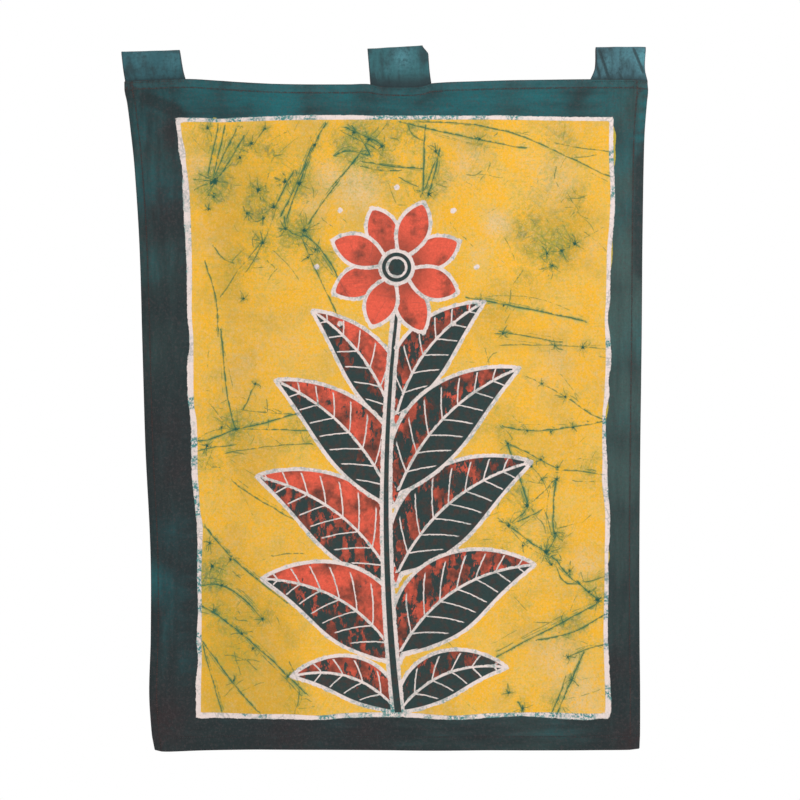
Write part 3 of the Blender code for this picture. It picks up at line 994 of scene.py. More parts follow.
def weave_group():
    """Plain weave from flat cloth places in metres: thread height and uneven thread tone."""
    graph, given, out = new_group(
        "plain_weave", [("Flat", VECTOR)], [("Height", VALUE), ("Tone", VALUE)]
    )
    across, up, _ = graph.parts(given["Flat"])
    turn = 2 * math.pi / THREAD_PITCH
    warp = graph.maths("SINE", graph.times(across, turn))
    weft = graph.maths("SINE", graph.times(up, turn))
    height = graph.times(warp, weft)
    slub_up = graph.streaks(given["Flat"], (900.0, 1.0, 1.0), 1.0)
    warp_tone = graph.streaks(given["Flat"], (620.0, 24.0, 1.0), 2.0, 0.6)
    weft_tone = graph.streaks(given["Flat"], (24.0, 620.0, 1.0), 2.0, 0.6)
    tone = graph.plus(warp_tone, weft_tone)
    graph.feed(out["Height"], graph.plus(graph.times(height, 0.5), slub_up))
    graph.feed(out["Tone"], graph.minus(tone, 1.0))
    return graph.tree


def weave_into(graph, shader, weave, colour, tone_share):
    """The dyed colour with the threads' uneven tone, their relief and cotton's faint sheen."""
    tone = graph.scaled(weave["Tone"], tone_share, 1.0)
    graph.feed(shader.inputs["Base Color"], graph.tinted(colour, tone))
    shader.inputs["Specular IOR Level"].default_value = 0.25
    shader.inputs["Sheen Weight"].default_value = 0.06
    bumped = graph.add("ShaderNodeBump")
    bumped.inputs["Strength"].default_value = 0.5
    bumped.inputs["Distance"].default_value = THREAD_RELIEF
    graph.feed(bumped.inputs["Height"], weave["Height"])
    graph.feed(shader.inputs["Normal"], bumped.outputs[0])


def crack_group():
    """One family of dyed cracks: the thin line itself and the haze that crept out of it."""
    graph, given, out = new_group(
        "dyed_crack",
        [("Crack", VECTOR), ("Wobble", VALUE), ("Break", VALUE)],
        [("Line", VALUE), ("Haze", VALUE)],
    )
    sided, plain, power = graph.parts(given["Crack"])
    off = graph.maths("ABSOLUTE", graph.plus(sided, given["Wobble"]))
    half = graph.scaled(graph.times(power, power), 0.62, 0.26)
    half = graph.times(half, graph.scaled(given["Break"], 2.2, -0.1))
    core = graph.ease(off, half, graph.times(half, 0.30))
    soft = graph.times(graph.ease(off, graph.scaled(half, 2.6, 0.7), half), 0.34)
    near = graph.ease(plain, 3.0, 2.2)
    broken = graph.ease(graph.scaled(power, 0.26, given["Break"]), 0.44, 0.64)
    line = graph.times(graph.most(core, soft), near, broken)
    graph.feed(out["Line"], graph.times(line, graph.ease(power, -0.20, 0.75)))
    graph.feed(out["Haze"], graph.times(graph.ease(plain, 12.0, 0.5), power))
    return graph.tree


def fibre_group():
    """Patches of faint parallel hairlines: Turn is their slope, Size their spacing in metres."""
    graph, given, out = new_group(
        "dyed_fibres",
        [("Place", VECTOR), ("Turn", VALUE), ("Size", VALUE), ("Stretch", VALUE), ("Width", VALUE)],
        [("Line", VALUE)],
    )
    turned = graph.add("ShaderNodeVectorRotate", rotation_type="Y_AXIS")
    graph.feed(turned.inputs["Vector"], given["Place"])
    graph.feed(turned.inputs["Angle"], given["Turn"])
    across, _, up = graph.parts(turned.outputs[0])
    drawn_out = graph.maths("DIVIDE", across, given["Stretch"])
    squeezed = graph.maths("DIVIDE", up, given["Size"])
    waves = graph.noise(graph.vector(drawn_out, given["Turn"], squeezed), 1.0, 1.5, 0.6)
    off = graph.maths("ABSOLUTE", graph.minus(waves, 0.5))
    line = graph.ease(off, given["Width"], graph.times(given["Width"], 0.2))
    patch = graph.noise(turned.outputs[0], 24.0, 3.0, 0.65)
    graph.feed(out["Line"], graph.times(line, graph.ease(patch, 0.48, 0.66)))
    return graph.tree


def crackle_group():
    """Net of hairline cracks in patches: cells of about Size across, in metres."""
    graph, given, out = new_group(
        "hairline_crackle",
        [("Place", VECTOR), ("Size", VALUE), ("Width", VALUE), ("Amount", VALUE)],
        [("Line", VALUE)],
    )
    bent = graph.add("ShaderNodeTexNoise")
    graph.feed(bent.inputs["Vector"], given["Place"])
    graph.feed(bent.inputs["Scale"], 60.0)
    bend = graph.add("ShaderNodeVectorMath", operation="SCALE")
    graph.feed(bend.inputs[0], bent.outputs["Color"])
    bend.inputs["Scale"].default_value = 0.012
    moved = graph.add("ShaderNodeVectorMath", operation="ADD")
    graph.feed(moved.inputs[0], given["Place"])
    graph.feed(moved.inputs[1], bend.outputs[0])
    cells = graph.add("ShaderNodeTexVoronoi", feature="DISTANCE_TO_EDGE")
    graph.feed(cells.inputs["Vector"], moved.outputs[0])
    graph.feed(cells.inputs["Scale"], graph.maths("DIVIDE", 1.0, given["Size"]))
    gap = graph.times(cells.outputs["Distance"], given["Size"])
    line = graph.ease(gap, given["Width"], 0.0)
    patch = graph.noise(given["Place"], 34.0, 3.0, 0.6)
    low = graph.minus(0.78, graph.times(given["Amount"], 0.5))
    kept = graph.ease(patch, low, graph.plus(low, 0.10))
    graph.feed(out["Line"], graph.times(line, kept))
    return graph.tree


WEAVE = weave_group()
CRACK = crack_group()
FIBRES = fibre_group()
CRACKLE = crackle_group()

BORDER_TEAL = (0.013, 0.116, 0.130, 1.0)
BORDER_LIGHT = (0.052, 0.098, 0.091, 1.0)
HEM_TEAL = (0.040, 0.118, 0.130, 1.0)
BORDER_DARK = (0.017, 0.027, 0.029, 1.0)
BORDER_BROWN = (0.031, 0.022, 0.024, 1.0)
BORDER_RUST = (0.070, 0.054, 0.056, 1.0)
FIELD_ORANGE = (0.850, 0.430, 0.022, 1.0)
FIELD_YELLOW = (0.780, 0.465, 0.080, 1.0)
FIELD_AMBER = (0.600, 0.325, 0.020, 1.0)
FIELD_PALE = (0.730, 0.510, 0.250, 1.0)
FIELD_HAZE = (0.360, 0.320, 0.042, 1.0)
CRACK_OLIVE = (0.190, 0.225, 0.048, 1.0)
CRACK_PALE = (0.470, 0.480, 0.190, 1.0)
CRACK_GREEN = (0.022, 0.128, 0.080, 1.0)
CRACK_DARK = (0.012, 0.075, 0.054, 1.0)
WAX_WHITE = (0.780, 0.655, 0.615, 1.0)
WAX_GREEN = (0.060, 0.230, 0.220, 1.0)
WAX_CRACK = (0.330, 0.340, 0.320, 1.0)
PLANT_DARK = (0.024, 0.046, 0.045, 1.0)
PLANT_BROWN = (0.085, 0.034, 0.026, 1.0)
PLANT_RUST = (0.330, 0.066, 0.040, 1.0)
PLANT_RED = (0.740, 0.105, 0.060, 1.0)
REVERSE_HAZE = (0.300, 0.290, 0.240, 1.0)
VEIN_PITCH = 12.0


def batik_material():
    material, graph, shader = new_material("batik_dyed_cotton")
    place = graph.add("ShaderNodeTexCoord").outputs["Object"]
    flat = graph.add("ShaderNodeUVMap", uv_map="flat_cloth").outputs["UV"]
    weave = graph.group(WEAVE, Flat=flat)

    def centred(value, size):
        return graph.times(graph.minus(value, 0.5), size)

    wide = graph.noise(place, 9.0, 3.0, 0.55)
    cloudy = graph.noise(place, 34.0, 4.0, 0.62)
    fine = graph.noise(place, 130.0, 3.0, 0.65)
    mottle = graph.noise(place, 360.0, 2.0, 0.65)
    streak_up = graph.streaks(place, (300.0, 1.0, 34.0), 3.0, 0.62)
    streak_side = graph.streaks(place, (28.0, 1.0, 230.0), 3.0, 0.62)
    speck = graph.noise(place, 450.0, 3.0, 0.8)
    grain = graph.noise(place, 330.0, 4.0, 0.8)
    wobble_mm = graph.plus(centred(fine, 3.4), centred(mottle, 1.3))
    crack_wobble = graph.plus(centred(fine, 2.0), centred(speck, 0.8))

    # Dark border, brushed along each side
    across, _, up = graph.parts(place)
    on_side = graph.ease(graph.maths("ABSOLUTE", across), 0.232, 0.254)
    wash_up = graph.streaks(place, (70.0, 1.0, 13.0), 4.0, 0.6)
    wash_side = graph.streaks(place, (13.0, 1.0, 70.0), 4.0, 0.6)

    def one_or_other(share, first, second):
        return graph.scaled(share, graph.minus(second, first), first)

    wash = one_or_other(on_side, wash_side, wash_up)
    brushed = one_or_other(on_side, streak_side, streak_up)
    edge_gap, crease_relief_and_shade, seam_gap = graph.noted("hem")
    teal, light, brown = graph.noted("border_dye_and_shade")
    light_share = graph.plus(graph.times(light, 0.85), centred(wash, 0.7))
    border = graph.mix(graph.ease(light_share, -0.10, 1.0), BORDER_DARK, BORDER_LIGHT)
    teal_share = graph.plus(graph.times(teal, 0.95), centred(wash, 0.8))
    teal_share = graph.plus(teal_share, centred(cloudy, 0.5))
    border = graph.mix(graph.ease(teal_share, 0.02, 1.05), border, BORDER_TEAL)
    fallen = graph.times(graph.parts(flat)[1], -1000.0)
    turned_hem = graph.times(graph.ease(fallen, 11.5, 9.0), graph.ease(fine, 0.25, 0.65))
    border = graph.mix(graph.times(turned_hem, 0.45), border, HEM_TEAL)
    # Brown stains, and painted shade in the groove along the right hem
    border = graph.mix(graph.times(brown, graph.ease(fine, 0.20, 0.58)), border, BORDER_BROWN)
    # Painted shade: darker in crease and fold troughs, in the right hem's groove, under the middle tab
    # and in the puckers
    border = graph.laid(border, BORDER_DARK, crease_relief_and_shade, 0.10, 1.1, 0.75)
    # Painted shade of the puckers along the rows of stitching, broken up by mottle
    seam = graph.times(graph.ease(seam_gap, 1.7, 0.3), graph.ease(mottle, 0.34, 0.60))
    border = graph.mix(graph.times(seam, 0.75), border, BORDER_BROWN)
    # Darker brown along the folded edges: partly worn dye, partly painted shade where the edge rolls
    # under
    border = graph.laid(border, BORDER_BROWN, edge_gap, 1.4, 0.2, 0.6)
    border = graph.laid(border, BORDER_RUST, grain, 0.48, 0.66, 0.42)
    border = graph.toned(border, brushed, 0.40, 0.80)
    border = graph.toned(border, mottle, 0.30, 0.85)
    border = graph.toned(border, speck, 0.50, 0.75)

    # Yellow field
    pale, haze, reverse_share = graph.noted("field_dye")
    orange_share = graph.plus(graph.times(cloudy, 0.7), graph.times(mottle, 0.5))
    field = graph.mix(graph.ease(orange_share, 0.50, 0.70), FIELD_ORANGE, FIELD_YELLOW)
    amber_share = graph.plus(graph.times(wide, 0.9), centred(cloudy, 0.6))
    amber_share = graph.scaled(haze, 0.15, amber_share)
    amber = graph.noted("field_amber")[0]
    amber_share = graph.scaled(amber, 0.30, amber_share)
    field = graph.laid(field, FIELD_AMBER, amber_share, 0.40, 0.74, 0.75)
    pale_share = graph.plus(graph.times(pale, 0.42), graph.times(wide, 0.9))
    pale_share = graph.ease(graph.plus(pale_share, centred(fine, 0.5)), 0.48, 0.88)
    pale_share = graph.times(pale_share, graph.scaled(amber, -0.7, 1.0))
    field = graph.mix(graph.times(pale_share, graph.ease(mottle, 0.22, 0.60)), field, FIELD_PALE)

    lines, hazes = [], []
    swelling = graph.plus(graph.times(cloudy, 0.55), graph.times(fine, 0.45))
    for name in families:
        crack = graph.add("ShaderNodeAttribute", attribute_name=name).outputs["Vector"]
        made = graph.group(CRACK, Crack=crack, Wobble=crack_wobble, Break=swelling)
        lines.append(made["Line"])
        hazes.append(made["Haze"])
    crept = graph.plus(graph.times(haze, 0.82), graph.times(graph.most(*hazes), 0.40))
    smudge = graph.plus(graph.times(crept, 0.72), centred(fine, 1.4))
    smudge = graph.ease(graph.plus(smudge, centred(cloudy, 0.9)), -0.02, 0.95)
    smudge = graph.times(smudge, graph.scaled(graph.ease(mottle, 0.36, 0.60), 0.85, 0.15))
    field = graph.mix(smudge, field, FIELD_HAZE)
    watery = graph.times(graph.ease(graph.most(*hazes), 0.50, 0.95), graph.ease(fine, 0.40, 0.62))
    field = graph.mix(graph.times(watery, 0.42), field, CRACK_PALE)
    fibres = []
    for turn, size, stretch in ((1.10, 0.0042, 0.060), (-0.72, 0.0036, 0.050), (0.05, 0.0046, 0.045)):
        slope = dict(Turn=turn, Size=size, Stretch=stretch, Width=0.042)
        fibres.append(graph.group(FIBRES, Place=place, **slope)["Line"])
    net_wide = graph.group(CRACKLE, Place=place, Size=0.026, Width=0.0015, Amount=haze)["Line"]
    net_fine = graph.group(CRACKLE, Place=place, Size=0.009, Width=0.0011, Amount=haze)["Line"]
    hairs = graph.times(graph.most(*fibres), 0.62)
    hairs = graph.most(hairs, graph.times(net_wide, 0.9), graph.times(net_fine, 0.8))
    hairs = graph.times(hairs, graph.ease(speck, 0.28, 0.52))
    hair_share = graph.times(hairs, graph.scaled(haze, 0.55, 0.26))
    field = graph.mix(hair_share, field, CRACK_OLIVE)
    runs = []
    for turn, size, stretch in ((1.16, 0.0085, 0.036), (-0.66, 0.0075, 0.030), (0.40, 0.0095, 0.024)):
        slope = dict(Turn=turn, Size=size, Stretch=stretch, Width=0.075)
        runs.append(graph.group(FIBRES, Place=place, **slope)["Line"])
    crept_in = graph.ease(graph.plus(haze, centred(cloudy, 0.8)), 0.22, 0.80)
    run_share = graph.times(graph.most(*runs), crept_in, graph.ease(fine, 0.34, 0.56))
    field = graph.mix(graph.times(run_share, 0.66), field, CRACK_GREEN)
    grain_share = graph.times(graph.ease(grain, 0.48, 0.64), graph.scaled(amber, -0.30, 0.44))
    field = graph.mix(grain_share, field, FIELD_PALE)
    dotted = graph.times(graph.ease(speck, 0.50, 0.64), graph.scaled(haze, 0.45, 0.36))
    field = graph.mix(dotted, field, FIELD_HAZE)
    field = graph.toned(field, speck, 0.30, 0.87)

    # Cracks, and the knots on them with their rays
    pooled = graph.scaled(graph.ease(fine, 0.36, 0.60), 0.52, 0.48)
    crack_line = graph.times(graph.most(*lines), pooled)
    knot_x, knot_z, knot_away = graph.noted("knot")
    aim = graph.add("ShaderNodeVectorMath", operation="NORMALIZE")
    graph.feed(aim.inputs[0], graph.vector(knot_x, knot_z))
    reach_x, reach_z, _ = graph.parts(aim.outputs[0])
    spread = graph.vector(reach_x, reach_z, graph.times(wide, 12.0))
    rays = graph.ease(graph.noise(spread, 2.6, 3.0, 0.75), 0.44, 0.80)
    away = graph.plus(graph.length(knot_x, knot_z), centred(fine, 1.1))
    away = graph.maths("DIVIDE", away, graph.scaled(rays, 1.7, 0.50))
    blot = graph.times(graph.ease(away, 1.55, 0.40), graph.ease(knot_away, 3.2, 2.0))
    heart = graph.times(graph.ease(away, 1.20, 0.40), graph.ease(knot_away, 2.0, 1.3))
    crept_round = graph.times(graph.ease(knot_away, 5.0, 0.4), graph.ease(mottle, 0.35, 0.6), 0.5)
    field = graph.mix(crept_round, field, CRACK_OLIVE)
    field = graph.laid(field, CRACK_OLIVE, crack_line, 0.02, 0.40, 0.9)
    field = graph.laid(field, CRACK_GREEN, crack_line, 0.22, 0.80, 0.94)
    field = graph.laid(field, CRACK_OLIVE, blot, 0.0, 0.5, 0.70)
    field = graph.laid(field, CRACK_GREEN, blot, 0.3, 1.0, 0.90)
    field = graph.mix(graph.times(heart, 0.90), field, CRACK_DARK)

    # Plant, dyed red first and dark over it
    run, red, room = graph.noted("plant_dye")
    rib, rib_plain, _ = graph.noted("plant_rib")
    back, front, stem = graph.noted("plant")
    even, odd, dots = graph.noted("flower")
    from_x = graph.minus(across, FLOWER_X * MM)
    from_z = graph.minus(up, FLOWER_Z * MM)
    from_flower = graph.times(graph.length(from_x, from_z), 1000.0)
    disc = graph.minus(DISC_RADIUS, from_flower)
    into = graph.most(back, front, stem, even, odd, disc)
    warmth = graph.scaled(red, 0.30, graph.times(cloudy, 1.2))
    warmth = graph.plus(warmth, centred(fine, 0.4))
    rust = graph.mix(graph.ease(warmth, 0.58, 0.88), PLANT_BROWN, PLANT_RUST)
    rust = graph.mix(graph.ease(warmth, 0.76, 1.06), rust, PLANT_RED)
    rust = graph.laid(rust, PLANT_RUST, from_flower, 50.0, 20.0, 0.8)
    ragged = graph.streaks(place, (70.0, 1.0, 34.0), 5.0, 0.70)
    dark_share = graph.ease(graph.scaled(red, -0.34, ragged), 0.275, 0.315)
    dark = graph.laid(PLANT_DARK, PLANT_BROWN, fine, 0.44, 0.70, 0.5)
    plant_dye = graph.mix(graph.most(dark_share, graph.ease(disc, -0.5, 0.5)), rust, dark)
    over = graph.most(graph.times(crack_line, 0.55), graph.times(hairs, 0.38), graph.times(blot, 0.5))
    plant_dye = graph.mix(over, plant_dye, PLANT_DARK)
    plant_dye = graph.toned(plant_dye, mottle, 0.50, 0.75)
    plant_dye = graph.toned(plant_dye, speck, 0.40, 0.80)
    in_plant = graph.ease(graph.scaled(wobble_mm, 0.4, into), -0.4, 0.4)

    # Waxed lines
    line_gap_mm, dyed_gap, stain = graph.noted("wax_line")
    in_field = graph.ease(graph.scaled(wobble_mm, 0.8, dyed_gap), -0.4, 0.4)
    spilled = graph.times(graph.ease(line_gap_mm, -2.4, -3.4), 0.8)
    field = graph.mix(spilled, field, FIELD_HAZE)
    swell = graph.plus(centred(fine, 1.8), centred(mottle, 1.0))

    def drawn_line(gap, half, soft=0.40):
        """A wax line of about twice this width along the places where the gap is nought."""
        off = graph.maths("ABSOLUTE", graph.scaled(wobble_mm, 0.40, gap))
        off = graph.minus(off, swell)
        return graph.ease(off, half + soft, half - soft)

    frame_wax = drawn_line(line_gap_mm, 2.9)
    in_leaf = graph.ease(graph.most(back, front), 0.0, 1.0)
    wax = graph.times(drawn_line(rib, 1.5), graph.ease(rib_plain, 3.6, 3.0), in_leaf)
    run_bent = graph.scaled(wobble_mm, 0.6, run)
    vein_off = graph.maths("PINGPONG", run_bent, VEIN_PITCH)
    vein_off = graph.minus(vein_off, graph.times(swell, 0.6))
    veins = graph.times(graph.ease(vein_off, 1.30, 0.70), graph.ease(room, 0.16, 0.22), in_leaf)
    wax = graph.most(wax, veins, graph.times(drawn_line(back, 2.15), graph.ease(front, 1.0, 0.0)))
    for shape in (front, stem, even, odd, disc):
        hidden = graph.ease(graph.scaled(wobble_mm, 0.4, shape), 0.8, 0.0)
        if shape is not front:
            wax = graph.times(wax, hidden)
        wax = graph.most(wax, drawn_line(shape, 2.15))
    wax = graph.most(wax, drawn_line(graph.minus(from_flower, RING_RADIUS), 1.5))
    wax = graph.most(wax, graph.ease(graph.plus(dots, wobble_mm), DOT_RADIUS * 2.4, DOT_RADIUS * 1.8))
    wax = graph.times(wax, graph.ease(dyed_gap, -1.0, 1.0))
    wax = graph.most(wax, frame_wax)
    wax_crack = graph.group(CRACKLE, Place=place, Size=0.0065, Width=0.0011, Amount=0.55)["Line"]
    stained = graph.plus(graph.times(stain, 0.8), graph.times(fine, 0.75))
    at_edge = graph.ease(graph.maths("ABSOLUTE", line_gap_mm), 1.6, 3.2)
    stained = graph.scaled(at_edge, 0.14, graph.scaled(cloudy, 0.3, stained))
    stained = graph.times(graph.ease(stained, 0.58, 0.94), graph.ease(mottle, 0.38, 0.58))
    tinge = graph.ease(graph.noise(place, 75.0, 4.0, 0.75), 0.52, 0.70)
    stained = graph.most(stained, graph.times(tinge, 0.38))
    white = graph.mix(stained, WAX_WHITE, WAX_GREEN)
    white = graph.laid(white, WAX_CRACK, speck, 0.52, 0.72, 0.30)
    white = graph.mix(graph.times(wax_crack, 0.62), white, WAX_CRACK)
    white = graph.mix(graph.times(graph.most(crack_line, blot), 0.70), white, CRACK_DARK)
    white = graph.toned(white, mottle, 0.16, 0.93)

    colour = graph.mix(in_plant, field, plant_dye)
    colour = graph.mix(in_field, border, colour)
    colour = graph.mix(wax, colour, white)
    colour = graph.mix(graph.times(reverse_share, 0.16), colour, REVERSE_HAZE)
    graph.feed(shader.inputs["Roughness"], graph.scaled(wax, -0.08, 0.90))
    weave_into(graph, shader, weave, colour, 0.11)
    return material


cloth_mesh.materials.append(batik_material())
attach(cloth, "root")
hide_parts("batik_cloth")

# Tab loops
# Three straps of the same dark dyed cotton, each folded over into a loop for a rod. Their two
# tails are caught behind the top hem by the rows of stitching there. The straps were pressed
# flat in storage, so their front walls carry slanting creases.

TAB_THICK = 1.1
TAB_TAIL = 12.0
TAB_RISE = 38.0
TAB_LOOP_HALF = 5.4
TAIL_PITCH = 1.45
OPEN_RISE = 0.45
WAIST_RISE = 0.35
CLIP_RISE = 0.76
TAB_STEP = 1.7
FOOT_FADE = 0.34
TAB_ROUND = ((0.0, 0.42), (0.25, 0.82), (0.8, 1.0))
Tab = namedtuple(
    "Tab",
    "name top_left top_right waist_left waist_right foot_left foot_right"
    " height_left height_right clipped_corner dark_foot",
)
TABS = (
    Tab("tab_left", -311.4, -244.3, -308.9, -240.8, -307.3, -237.6, 1.6, 3.2, 0.0, 0.22),
    Tab("tab_middle", -28.6, 40.9, -26.4, 42.9, -25.3, 45.0, 5.0, 8.7, 6.0, 0.40),
    Tab("tab_right", 233.8, 291.4, 233.0, 290.2, 227.8, 293.6, 7.0, 7.0, 0.0, 0.22),
)
TAB_CREASES = table_of(
    Crease,
    (-304, 0, -296, -31, 3.0, 0.5), (-262, 2, -270, -30, 4.0, -0.5), (-286, 1, -280, -31, 5.0, 0.4),
    (-14, 6, -10, -36, 3.5, 0.42), (2, 6, 0, -36, 4.0, -0.6), (22, 7, 27, -34, 4.0, -0.5),
    (36, 4, 30, -34, 3.0, 0.4), (235.5, 9, 250, -32, 1.5, 1.1), (230, 2, 240, -32, 1.8, 0.8),
    (275, 9, 290, -26, 1.5, 1.1), (257, -16, 266, -32, 1.8, 0.6), (262, 6, 258, -24, 5.0, -0.5),
)
# Painted highlights: lighter teal patches near the tops of the straps
TAB_HIGHLIGHTS = table_of(
    Stain,
    (12, -5, 13, 1.0), (289, -6, 10, 1.7), (287, -16, 7, 1.0), (268, 0, 14, 0.6),
    (250, -12, 9, 0.5), (-250, -8, 10, 0.5), (-290, -4, 12, 0.4), (-3, -18, 6, 0.4),
)


def loop_path():
    """The strap's line from front tail to back tail: rise, tail drop, depth and outward turn."""
    narrow = TAIL_PITCH / 2
    shoulder = 1 - TAB_LOOP_HALF / TAB_RISE
    front = [(0.0, -drop, narrow) for drop in np.linspace(TAB_TAIL, 1.2, 8)]
    for rise in np.linspace(0.0, shoulder, 28):
        open_share = float(smooth_step(rise / OPEN_RISE))
        front.append((rise, 0.0, narrow + (TAB_LOOP_HALF - narrow) * open_share))
    for turn in np.linspace(0, math.pi / 2, 11)[1:-1]:
        front.append((shoulder + (1 - shoulder) * math.sin(turn), 0.0, TAB_LOOP_HALF * math.cos(turn)))
    behind = list(reversed(front))
    path = [(rise, drop, -depth) for rise, drop, depth in front] + [(1.0, 0.0, 0.0)] + behind
    return np.array(path)


def build_tab(tab):
    path = loop_path()
    rise, tail, depth = path[:, 0], path[:, 1], path[:, 2]
    along_z = rise * TAB_RISE + tail
    tangent_y, tangent_z = np.gradient(depth), np.gradient(along_z)
    size = np.hypot(tangent_y, tangent_z)
    out_y, out_z = -tangent_z / size, tangent_y / size
    run = np.concatenate([[0], np.cumsum(np.hypot(np.diff(depth), np.diff(along_z)))])

    width = tab.foot_right - tab.foot_left
    near = [gap for gap, _ in TAB_ROUND]
    far = [width - gap for gap in reversed(near)]
    lines = np.array([*near, *np.arange(2.2, width - 2.0, TAB_STEP), *far])
    share = lines / width
    edge = np.minimum(lines, width - lines)
    full = np.interp(edge, [gap for gap, _ in TAB_ROUND], [part for _, part in TAB_ROUND])

    left = through((0.0, WAIST_RISE, 1.0), (tab.foot_left, tab.waist_left, tab.top_left), rise)
    right = through((0.0, WAIST_RISE, 1.0), (tab.foot_right, tab.waist_right, tab.top_right), rise)
    right = right - tab.clipped_corner * smooth_step((rise - CLIP_RISE) / (1 - CLIP_RISE))
    x = left[:, None] + (right - left)[:, None] * share[None, :]
    foot = edge_height(TOP_EDGE, x)
    fold = tab.height_left + (tab.height_right - tab.height_left) * share[None, :]
    z = foot + (fold - foot) * rise[:, None] + tail[:, None]
    hung = cloth_depth(x, -tail[:, None] + 0 * x)
    in_front = smooth_step(-depth[:, None] / TAB_LOOP_HALF * 3 - 0.4) * smooth_step(rise[:, None] * 6)
    crease_relief_and_shade = crease_depth(TAB_CREASES, x, z)
    uneven = 0.45 * soft_noise(x, z + depth[:, None] * 6, 17, 22, 3.5) * smooth_step(rise[:, None] * 4)
    y = depth[:, None] + hung + crease_relief_and_shade * in_front + uneven
    # The fold's crown is never quite straight
    z = z + 0.5 * soft_noise(x, z * 0, 19, 9, 6.5) * smooth_step((rise[:, None] - 0.7) * 3)

    half = TAB_THICK / 2 * full[None, :]
    points = []
    for way in (1, -1):
        face = np.stack([x, y + way * half * out_y[:, None], z + way * half * out_z[:, None]], axis=-1)
        points.append(face.reshape(-1, 3))
    mesh = mesh_from(tab.name, np.concatenate(points), sheet_faces(*x.shape, False))
    flat_across = np.tile((np.zeros_like(x) + lines[None, :]).ravel(), 2)
    flat_up = np.tile((np.zeros_like(x) + run[:, None]).ravel(), 2)
    map_flat(mesh, flat_across, flat_up)
    # Painted highlights on the straps' upper walls
    light = patches(TAB_HIGHLIGHTS, x.ravel(), z.ravel())
    # Painted shade, darker towards the foot where the strap tucks behind the hem
    foot_shade = smooth_step((tab.dark_foot - rise[:, None]) / FOOT_FADE) + 0 * x
    # Painted shade in the troughs of the straps' creases
    shaded = np.clip(crease_relief_and_shade * 1.1, 0, 1)
    note(mesh, "tab_light_and_shade", np.tile(light, 2), np.tile(foot_shade.ravel(), 2), np.tile(shaded.ravel(), 2))
    from_edge = np.minimum(edge[None, :], (1.05 - rise[:, None]) * TAB_RISE) + 0 * x
    note(mesh, "tab_hem", *[np.tile(from_edge.ravel(), 2)] * 3)
    return shown(tab.name + "_strap", mesh)


TAB_TEAL = {
    "tab_left": (0.034, 0.108, 0.128, 1.0),
    "tab_middle": (0.036, 0.122, 0.136, 1.0),
    "tab_right": (0.058, 0.140, 0.168, 1.0),
}
TAB_HIGHLIGHT = (0.085, 0.250, 0.290, 1.0)
TAB_DARK = (0.026, 0.044, 0.050, 1.0)
TAB_BROWN = (0.040, 0.022, 0.024, 1.0)


def tab_material(name, teal):
    material, graph, shader = new_material(name + "_dyed_cotton")
    place = graph.add("ShaderNodeTexCoord").outputs["Object"]
    flat = graph.add("ShaderNodeUVMap", uv_map="flat_cloth").outputs["UV"]
    weave = graph.group(WEAVE, Flat=flat)
    light, foot_shade, crease_relief_and_shade = graph.noted("tab_light_and_shade")
    from_edge = graph.noted("tab_hem")[0]
    cloudy = graph.streaks(place, (90.0, 60.0, 38.0), 4.0, 0.65)
    fine = graph.noise(place, 300.0, 3.0, 0.65)
    brushed = graph.streaks(place, (420.0, 300.0, 60.0), 3.0, 0.6)
    colour = graph.laid(teal, TAB_DARK, cloudy, 0.40, 0.68, 0.80)
    # Painted highlights
    colour = graph.mix(graph.times(light, graph.ease(fine, 0.2, 0.6), 0.7), colour, TAB_HIGHLIGHT)
    # Painted shade towards the strap's foot
    colour = graph.mix(graph.times(foot_shade, 0.9), colour, TAB_DARK)
    # Painted shade in the creases
    colour = graph.laid(colour, TAB_DARK, crease_relief_and_shade, 0.1, 0.8, 0.8)
    colour = graph.laid(colour, TAB_BROWN, from_edge, 1.5, 0.3, 0.6)
    colour = graph.toned(colour, fine, 0.50, 0.75)
    colour = graph.toned(colour, brushed, 0.30, 0.85)
    shader.inputs["Roughness"].default_value = 0.88
    weave_into(graph, shader, weave, colour, 0.15)
    return material


for tab in TABS:
    strap = build_tab(tab)
    strap.data.materials.append(tab_material(tab.name, TAB_TEAL[tab.name]))
    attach(strap, "root")
    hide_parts(tab.name)

# Stitching
# Dark cotton thread, machine sewn by hand guidance: one row holds each turned hem, and a second
# row close to the top edge catches the tails of the tabs. It shows on the front and on the back.

STITCH_PITCH = 2.7
STITCH_LENGTH = 2.1
STITCH_HALF = 0.24
Seam = namedtuple("Seam", "name start_side start_fall end_side end_fall tone")
SEAM_END = 3
LEFT_SEAM, TOP_SEAM = LEFT_HEM - SEAM_IN, TOP_HEM - SEAM_IN
RIGHT_SEAM = CLOTH_WIDTH - RIGHT_HEM + SEAM_IN
BOTTOM_SEAM = CLOTH_HEIGHT - BOTTOM_HEM + SEAM_IN
SEAMS = (
    Seam("left_hem", LEFT_SEAM, SEAM_END, LEFT_SEAM, CLOTH_HEIGHT - SEAM_END, "brown"),
    Seam("right_hem", RIGHT_SEAM, SEAM_END, RIGHT_SEAM, CLOTH_HEIGHT - SEAM_END, "brown"),
    Seam("top_hem", SEAM_END, TOP_SEAM, CLOTH_WIDTH - SEAM_END, TOP_SEAM, "brown"),
    Seam("bottom_hem", SEAM_END, BOTTOM_SEAM, CLOTH_WIDTH - SEAM_END, BOTTOM_SEAM, "dark"),
    Seam("tab_left_foot", 2, 2.6, 65, 2.4, "brown"),
    Seam("tab_middle_foot", 270, 2.6, 334, 2.6, "dark"),
    Seam("tab_right_foot", 512, 2.6, 569, 2.6, "dark"),
)


